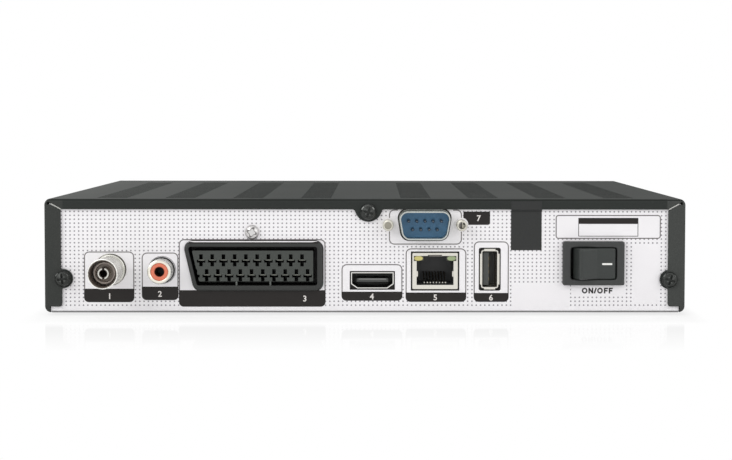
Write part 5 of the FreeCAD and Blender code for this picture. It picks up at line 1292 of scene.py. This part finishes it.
class ReceiverDataSockets(bpy.types.Operator):
    """Video, network and bus sockets"""
    bl_idname = "receiver.data_sockets"
    bl_label = "Data sockets"

    # middle across and up, half width, half height, and the chamfer across and up
    VIDEO_MOUTH = (2.25, 11.95, 7.25, 2.75, 2.1, 1.5)
    MOUTH_EDGE = -0.32, -0.24       # the bright edge begins this far inside the outline
    LENS = 5.68, 1.5, 0.8           # a light's distance from the middle, half width and height
    TIPS, TIPS_FADE = PANEL_FACE + 3.2, 1.5     # along, the wires are bright in front of this
    # the network socket's wires: number, pitch, half a tip's width, and its foot and top
    WIRES, WIRE_PITCH, WIRE_HALF, WIRE_TIP = 8, 1.04, 0.17, (10.95, 11.3)
    LATCH_BAR = (21.6, 20.1, 26.0, 20.5)
    # the bus socket's strips: number, pitch, half height, length, and their face across
    BUS_STRIPS, BUS_PITCH, BUS_HALF, BUS_LENGTH, BUS_FACE = 4, 2.3, 0.5, 9, 42.08
    TONGUE_EDGE = 4.7, 0.12, 0.42   # the video tongue's bright edge: half width, foot and top
    TAB_PLACE, TAB_WIDTH, TAB_TALL = 1.45, 0.45, (13.2, 15.1)   # network tabs, from a side
    LIP_PLACE, LIP_TALL = (2.88, 3.35), (10.5, 21.1)            # bus lips, from the middle

    def execute(self, context):
        colours = context.scene.receiver_sockets
        tin = metal("tinplate", colours.tin, (0.24, 0.4), grain=1400, stretch=(1, 0.15, 1),
                    bump=0.05, mottle=0.06, edge=0.1, wear=tone(250, 247, 240),
                    wear_amount=0.35)
        dress(tin, "network_socket_shell", "bus_socket_shell", "tuner_can", "press_switches")
        dress(bpy.data.materials["black moulding"], "card_reader", "infrared_receiver")
        dress(plastic("insert moulding", tone(76, 77, 78)), "network_socket_insert")
        dress(plastic("grey tongue", tone(70, 72, 70), edge=0.12), "video_socket_tongue",
              "bus_socket_tongue")
        dress(metal("shaded tinplate", colours.tin, (0.24, 0.4), grain=1400, bump=0.05,
                    mottle=0.06, edge=0.08, pattern=self.thin_rim), "video_socket_shell")
        dress(metal("contact wire", colours.tin, (0.2, 0.32), pattern=self.bright_tips),
              "network_socket_contacts")
        dress(plastic("light lens", colours.amber, (0.12, 0.25), bump=0.05, mottle=0.12,
                      pattern=self.lenses(colours), Coat_Weight=0.3), "network_socket_lights")
        self.contact_comb(tin)
        self.tongue_contacts()
        self.spring_tabs(tin)
        return {"FINISHED"}

    def thin_rim(self, finish):
        """The thin bright edge of the mouth. The rest of the sheet lies in shade."""
        x, z, half, tall, cut_x, cut_z = (value * MM for value in self.VIDEO_MOUTH)
        slope = math.hypot(cut_x, cut_z)
        tree = finish.tree
        place = split_place(tree, (x, 0, z))
        aside = reckon(tree, "ABSOLUTE", place[0])
        edge = reckon(tree, "MAXIMUM", reckon(tree, "SUBTRACT", aside, half),
                      reckon(tree, "SUBTRACT", reckon(tree, "ABSOLUTE", place[2]), tall))
        corner = reckon(tree, "SUBTRACT", reckon(tree, "MULTIPLY", aside, cut_z / slope),
                        reckon(tree, "MULTIPLY_ADD", place[2], cut_x / slope,
                               (half * cut_z + (tall - cut_z) * cut_x) / slope))
        edge = reckon(tree, "MAXIMUM", edge, corner)
        bright = ramp(tree, edge, *(place * MM for place in self.MOUTH_EDGE))
        return blend_colour(tree, bright, tone(50, 50, 48), tone(240, 239, 234))

    def bright_tips(self, finish):
        """Contact wires that get darker towards the back, painted shade deeper in the socket."""
        beyond = use(finish.tree, "Place", Middle=Vector((0, self.TIPS * MM, 0)))["Beyond"]
        return blend_colour(finish.tree, ramp(finish.tree, beyond, 0.0, self.TIPS_FADE * MM),
                            tone(236, 226, 206), tone(110, 94, 66))

    def lenses(self, colours):
        """Two oval lights with dark surrounds."""
        def pattern(finish):
            tree = finish.tree
            apart, wide, tall = (value * MM for value in self.LENS)
            place = split_place(tree, middle_of("network_socket_lights"))
            right = reckon(tree, "GREATER_THAN", place[0], 0.0)
            aside = reckon(tree, "SUBTRACT", reckon(tree, "ABSOLUTE", place[0]), apart)
            oval = reckon(tree, "ADD", *(
                reckon(tree, "POWER", reckon(tree, "DIVIDE", value, half), 2.0)
                for value, half in ((aside, wide), (place[2], tall))))
            lit = blend_colour(tree, right, colours.amber, colours.green)
            return blend_colour(tree, ramp(tree, oval, 0.85, 1.15), lit, tone(62, 60, 42))
        return pattern

    def contact_comb(self, tin):
        """Bright tips of the network socket's wires, and the bar over its latch."""
        low, high = span("network_socket_shell")
        half, (foot, top) = self.WIRE_HALF, self.WIRE_TIP
        comb = Piece()
        for index in range(self.WIRES):
            x = (low.x + high.x) / 2 + (index - (self.WIRES - 1) / 2) * self.WIRE_PITCH
            comb.prism(rounded(x - half, foot, x + half, top, 0.1), PANEL_FACE + 0.9,
                       PANEL_FACE + 2.8)
        comb.prism(rounded(*self.LATCH_BAR, 0.1), PANEL_FACE + 0.4, PANEL_FACE + 1.2, look=1)
        comb.make("network_contact_tips", "cabinet", "bright_metal", tin,
                  plastic("latch bar", tone(122, 117, 112), (0.35, 0.5), bump=0.05, edge=0.1))

    def tongue_contacts(self):
        """Contact strips on the bus socket's tongue, and the video tongue's bright edge."""
        low, high = span("bus_socket_tongue")
        strips = Piece()
        for index in range(self.BUS_STRIPS):
            z = (low.z + high.z) / 2 + (index - (self.BUS_STRIPS - 1) / 2) * self.BUS_PITCH
            strips.prism(rounded(self.BUS_FACE - 0.05, z - self.BUS_HALF, self.BUS_FACE + 0.06,
                                 z + self.BUS_HALF, 0), low.y + 0.3, low.y + self.BUS_LENGTH)
        x, z, *_ = self.VIDEO_MOUTH
        half, foot, top = self.TONGUE_EDGE
        front = panel_side("video_socket_tongue")
        strips.prism(rounded(x - half, z + foot, x + half, z + top, 0.1), front - 0.02,
                     front + 0.3, look=1)
        strips.make("tongue_contacts", "cabinet", "gold_contact",
                    metal("gold flash", tone(222, 190, 120), (0.2, 0.32)),
                    metal("tongue edge", tone(150, 150, 148), (0.3, 0.4), grain=1500))

    def spring_tabs(self, tin):
        """Spring tabs at the sides of the network socket, and the side lips of the bus socket."""
        wall, tab, (foot, top) = self.TAB_PLACE, self.TAB_WIDTH, self.TAB_TALL
        tabs = Piece()
        low, high = span("network_socket_shell")
        for x in (low.x + wall, high.x - wall - tab):
            tabs.prism(rounded(x, foot, x + tab, top, 0.1), PANEL_FACE + 0.15, PANEL_FACE + 1.6)
        low, high = span("bus_socket_shell")
        middle, (foot, top) = (low.x + high.x) / 2, self.LIP_TALL
        for side in (-1, 1):
            left, right = sorted(middle + side * place for place in self.LIP_PLACE)
            tabs.prism(rounded(left, foot, right, top, 0.2), PANEL_FACE - 0.05, PANEL_FACE + 1.2)
        tabs.make("socket_spring_tabs", "cabinet", "bright_metal", tin, round_off=0.06)


class ReceiverSerialSocket(bpy.types.Operator):
    """Nine-way serial socket"""
    bl_idname = "receiver.serial_socket"
    bl_label = "Serial socket"

    # the closed left post: radius, and where it lies behind the post's tip
    PLUG = ((0, 0.22), (1.1, 0.16), (1.36, 0.3), (1.36, 1.2), (0, 1.2))

    def execute(self, context):
        colours = context.scene.receiver_sockets
        dress(plastic("blue moulding", colours.blue, (0.3, 0.45), bump=0.06, mottle=0.08),
              "serial_socket_insulator")
        dress(metal("drawn steel", tone(192, 196, 192), (0.22, 0.36), grain=1600, bump=0.03,
                    edge=0.15, wear=tone(236, 238, 234), wear_amount=0.3),
              "serial_socket_shell")
        dress(metal("dull post", tone(212, 209, 198), (0.3, 0.42), grain=1600, edge=0.15,
                    wear=tone(236, 234, 228), wear_amount=0.4), "serial_socket_jackposts")
        dress(metal("steel pin", tone(96, 104, 112), (0.2, 0.32), edge=0.08,
                    wear=tone(200, 205, 210), wear_amount=0.3), "serial_socket_pins")
        tip = panel_side("serial_socket_jackposts")
        plug = Piece()
        plug.turned(*ReceiverPanel.POSTS[0], [(radius, tip + y) for radius, y in self.PLUG])
        plug.make("post_plug", "cabinet", "nickel",
                  metal("plug", tone(158, 154, 142), (0.35, 0.5), grain=1600, edge=0.1))
        return {"FINISHED"}


class ReceiverSwitch(bpy.types.Operator):
    """Mains rocker and its bezel"""
    bl_idname = "receiver.switch"
    bl_label = "Mains switch"

    PRESSED_FACE = -69.05           # along Y. The pressed half lies parallel to the panel
    DASH = (80.35, 17.47, 83.8, 18.1)

    def execute(self, context):
        moulded = dict(rough=(0.38, 0.55), bump=0.12, relief=0.05, mottle=0.05, edge=0.25,
                       wear=tone(100, 102, 100), wear_amount=0.2, dust=0.03)
        dress(plastic("switch moulding", tone(49, 51, 50), **moulded), "power_switch_body")
        dress(plastic("rocker moulding", tone(42, 46, 44), **moulded), "power_switch_rocker")
        dash = Piece()
        dash.prism(rounded(*self.DASH, 0.15), self.PRESSED_FACE - 0.03, self.PRESSED_FACE + 0.1)
        dash.make("rocker_dash", "rocker", "switch_black",
                  printed("white dash", tone(238, 238, 234), edge=0.03))
        return {"FINISHED"}


# ---------------------------------------------------------------------------- inside

class ReceiverBoards(bpy.types.Operator):
    """Boards and everything on them"""
    bl_idname = "receiver.boards"
    bl_label = "Boards"

    def execute(self, context):
        plain = dict(grain=1400, edge=0.12)
        sleeve, tape = tone(32, 38, 66), tone(214, 176, 62)
        dress(Finish("circuit board", tone(30, 110, 66), rough=(0.25, 0.4), grain=1200,
                     bump=0.25, relief=0.05, edge=0.05, pattern=self.tracks).material,
              "main_board", "power_board", "front_board")
        dress(plastic("moulded epoxy", tone(38, 38, 40), (0.5, 0.7), **plain),
              "processor_chip", "memory_chips")
        dress(metal("drawn aluminium", tone(196, 198, 200), (0.25, 0.45), grain=1800,
                    stretch=(0.1, 1, 1), bump=0.08, edge=0.12),
              "processor_heatsink", "power_heatsink")
        dress(plastic("capacitor sleeve", sleeve, (0.2, 0.35), pattern=self.tinned_top(sleeve),
                      **plain), "small_capacitors", "bulk_capacitors")
        dress(plastic("ferrite", tone(52, 50, 50), (0.6, 0.8), mottle=0.2, **plain),
              "transformer_core", "filter_choke")
        dress(plastic("winding tape", tape, (0.3, 0.45), **plain,
                      pattern=self.ribbed((0, 0, 1), 1.4, tone(150, 116, 30), tape)),
              "transformer_winding")
        dress(plastic("fuse glass", tone(206, 214, 214), (0.05, 0.12), grain=900, bump=0.02,
                      edge=0.05, Transmission_Weight=0.6), "mains_fuse")
        dress(plastic("capacitor box", tone(222, 196, 62), **plain), "filter_capacitor")
        dress(plastic("ribbon insulation", tone(150, 152, 156), **plain, pattern=self.ribbed(
            (1, 0, 0), 1.27, tone(84, 86, 90), tone(156, 158, 162))), "ribbon_cables")
        dress(plastic("header nylon", tone(226, 222, 208), **plain), "wire_headers")
        dress(plastic("lead insulation", tone(150, 30, 28), (0.35, 0.5), **plain),
              "power_harness", "power_switch_leads")
        dress(bpy.data.materials["bright screw"], "board_screws", "board_standoffs")
        return {"FINISHED"}

    def tracks(self, finish):
        """Copper tracks under green, with bare pads."""
        etched = use(finish.tree, "Copper tracks", Scale=170.0)
        finish.height = etched["Height"]
        feed(finish.tree, finish.shader.inputs["Metallic"], etched["Pad mask"])
        return etched["Colour"]

    def ribbed(self, direction, pitch, gap_shade, colour):
        """Ribs with darker gaps painted as shade."""
        def pattern(finish):
            ribs = use(finish.tree, "Ribbing", Direction=direction, Pitch=pitch * MM)
            finish.height = ribs["Height"]
            return blend_colour(finish.tree, ribs["Gap shade"], colour, gap_shade)
        return pattern

    def tinned_top(self, colour):
        """Bare metal on what faces up."""
        def pattern(finish):
            top = use(finish.tree, "Facing", Direction=(0, 0, 1))["Mask"]
            feed(finish.tree, finish.shader.inputs["Metallic"], top)
            return blend_colour(finish.tree, top, colour, tone(190, 192, 194))
        return pattern


# ---------------------------------------------------------------------------- front

class ReceiverFront(bpy.types.Operator):
    """Fascia, window, display and buttons"""
    bl_idname = "receiver.front"
    bl_label = "Front"

    # where each figure stands, seen from the front, and its lit bars
    DIGITS = ((-15, "abged"), (-7, "abcdef"), (7, "bc"), (15, "afgcd"))
    BAR_WIDTH, BAR_TRIM, COLON_RADIUS = 0.95, 0.6, 0.6
    FIGURE_SLENDER = 0.55           # a figure's width in its height
    MARK_LINE = 0.5                 # width of the lines of the symbols
    # standby: radius and ends in degrees of the ring, and the bar's foot and top
    RING, RING_ENDS, RING_BAR = 2.5, (50, -230), (0.6, 3.4)
    ARROW = 2.0, 0.9                # half the width and half the height of an arrow

    def execute(self, context):
        settings = context.scene.receiver_front
        dress(Finish(
            "fascia moulding", settings.fascia, rough=(0.1, 0.2), grain=700, bump=0.015,
            mottle=0.05, edge=0.3, wear=tone(70, 72, 74), wear_amount=0.25, dust=0.04,
            Coat_Weight=0.25).material, "front_fascia")
        dress(Finish(
            "smoked window", tone(60, 58, 58), rough=(0.03, 0.08), grain=600, bump=0.01,
            mottle=0.02, edge=0.2, Transmission_Weight=0.85, IOR=1.49).material,
            "display_window")
        dress(plastic("display face", tone(26, 32, 30), (0.25, 0.4), bump=0.04, mottle=0.1,
                      edge=0.1), "display_module")
        dress(plastic("button moulding", settings.button, (0.3, 0.42), grain=1200, bump=0.05,
                      mottle=0.04, edge=0.3, wear=tone(150, 152, 154), wear_amount=0.2),
              "standby_button", "channel_up_button", "channel_down_button")
        self.lit_display(settings)
        self.print_symbols(printed("symbol print", settings.symbol))
        return {"FINISHED"}

    def lit_display(self, settings):
        """Four figures of lit bars and a colon, read from the front."""
        tall = settings.digit_height / MM / 2
        half = tall * self.FIGURE_SLENDER
        bars = {"a": (-half, tall, half, tall), "b": (half, tall, half, 0),
                "c": (half, 0, half, -tall), "d": (-half, -tall, half, -tall),
                "e": (-half, 0, -half, -tall), "f": (-half, tall, -half, 0),
                "g": (-half, 0, half, 0)}
        middle = middle_of("display_module") / MM
        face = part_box("display_module")[1].y / MM
        figures = Piece()
        for place, lit in self.DIGITS:
            for bar in lit:
                across, up, to_across, to_up = bars[bar]
                trim = self.BAR_TRIM / math.dist((across, up), (to_across, to_up))
                path = [(middle.x - place - across - (to_across - across) * share,
                         middle.z + up + (to_up - up) * share) for share in (trim, 1 - trim)]
                figures.prism(stroke(path, self.BAR_WIDTH), face - 0.05, face + 0.05)
        for up in (-tall / 2, tall / 2):
            figures.prism(disc(middle.x, middle.z + up, self.COLON_RADIUS, 12), face - 0.05,
                          face + 0.05)
        figures.make("display_figures", "cabinet", "display_face", printed(
            "lit bars", settings.digits, bump=0.02, mottle=0.1, Emission_Color=settings.digits,
            Emission_Strength=5.0))

    def print_symbols(self, material):
        """A ring with a bar on the standby button, and an arrow on each channel button."""
        for body in ("standby", "channel_up", "channel_down"):
            middle = middle_of(body + "_button") / MM
            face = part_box(body + "_button")[1].y / MM
            if body == "standby":
                paths = [arc(middle.x, middle.z, self.RING, *self.RING_ENDS, 28),
                         [(middle.x, middle.z + up) for up in self.RING_BAR]]
            else:
                half, rise = self.ARROW
                rise = rise if body == "channel_up" else -rise
                paths = [[(middle.x - half, middle.z - rise), (middle.x, middle.z + rise),
                          (middle.x + half, middle.z - rise)]]
            mark = Piece()
            for path in paths:
                mark.prism(stroke(path, self.MARK_LINE), face - 0.05, face + 0.02)
            mark.make(body + "_symbol", body, "button_grey", material)


# ---------------------------------------------------------------------------- add-on parts

class ReceiverSidebar(bpy.types.Panel):
    """Lists the steps and their settings"""
    bl_idname = "VIEW3D_PT_receiver"
    bl_label = "Receiver"
    bl_space_type = "VIEW_3D"
    bl_region_type = "UI"
    bl_category = "Receiver"

    def draw(self, context):
        layout = self.layout
        for step in STEPS:
            layout.operator(step.bl_idname)
        for attribute, settings in SETTINGS.items():
            box = layout.box()
            box.label(text=settings.__doc__)
            for key in settings.__annotations__:
                box.prop(getattr(context.scene, attribute), key)


SETTINGS = {
    "receiver_stage": ReceiverStageSettings,
    "receiver_cover": ReceiverCoverSettings,
    "receiver_panel": ReceiverPanelSettings,
    "receiver_sockets": ReceiverSocketSettings,
    "receiver_front": ReceiverFrontSettings,
}
STEPS = (ReceiverStage, ReceiverCover, ReceiverPanel, ReceiverRoundSockets, ReceiverWideSocket,
         ReceiverDataSockets, ReceiverSerialSocket, ReceiverSwitch, ReceiverBoards,
         ReceiverFront)


def register():
    """Makes the settings, the steps and the sidebar known."""
    for kind in (*SETTINGS.values(), *STEPS, ReceiverSidebar):
        bpy.utils.register_class(kind)
    for attribute, settings in SETTINGS.items():
        setattr(bpy.types.Scene, attribute, PointerProperty(type=settings))


def unregister():
    """Takes them away again."""
    for attribute in SETTINGS:
        delattr(bpy.types.Scene, attribute)
    for kind in reversed((*SETTINGS.values(), *STEPS, ReceiverSidebar)):
        bpy.utils.unregister_class(kind)


def main():
    """Runs all steps."""
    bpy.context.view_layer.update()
    register()
    make_groups()
    for step in STEPS:
        area, name = step.bl_idname.split(".")
        getattr(getattr(bpy.ops, area), name)()


if __name__ == "__main__":
    main()
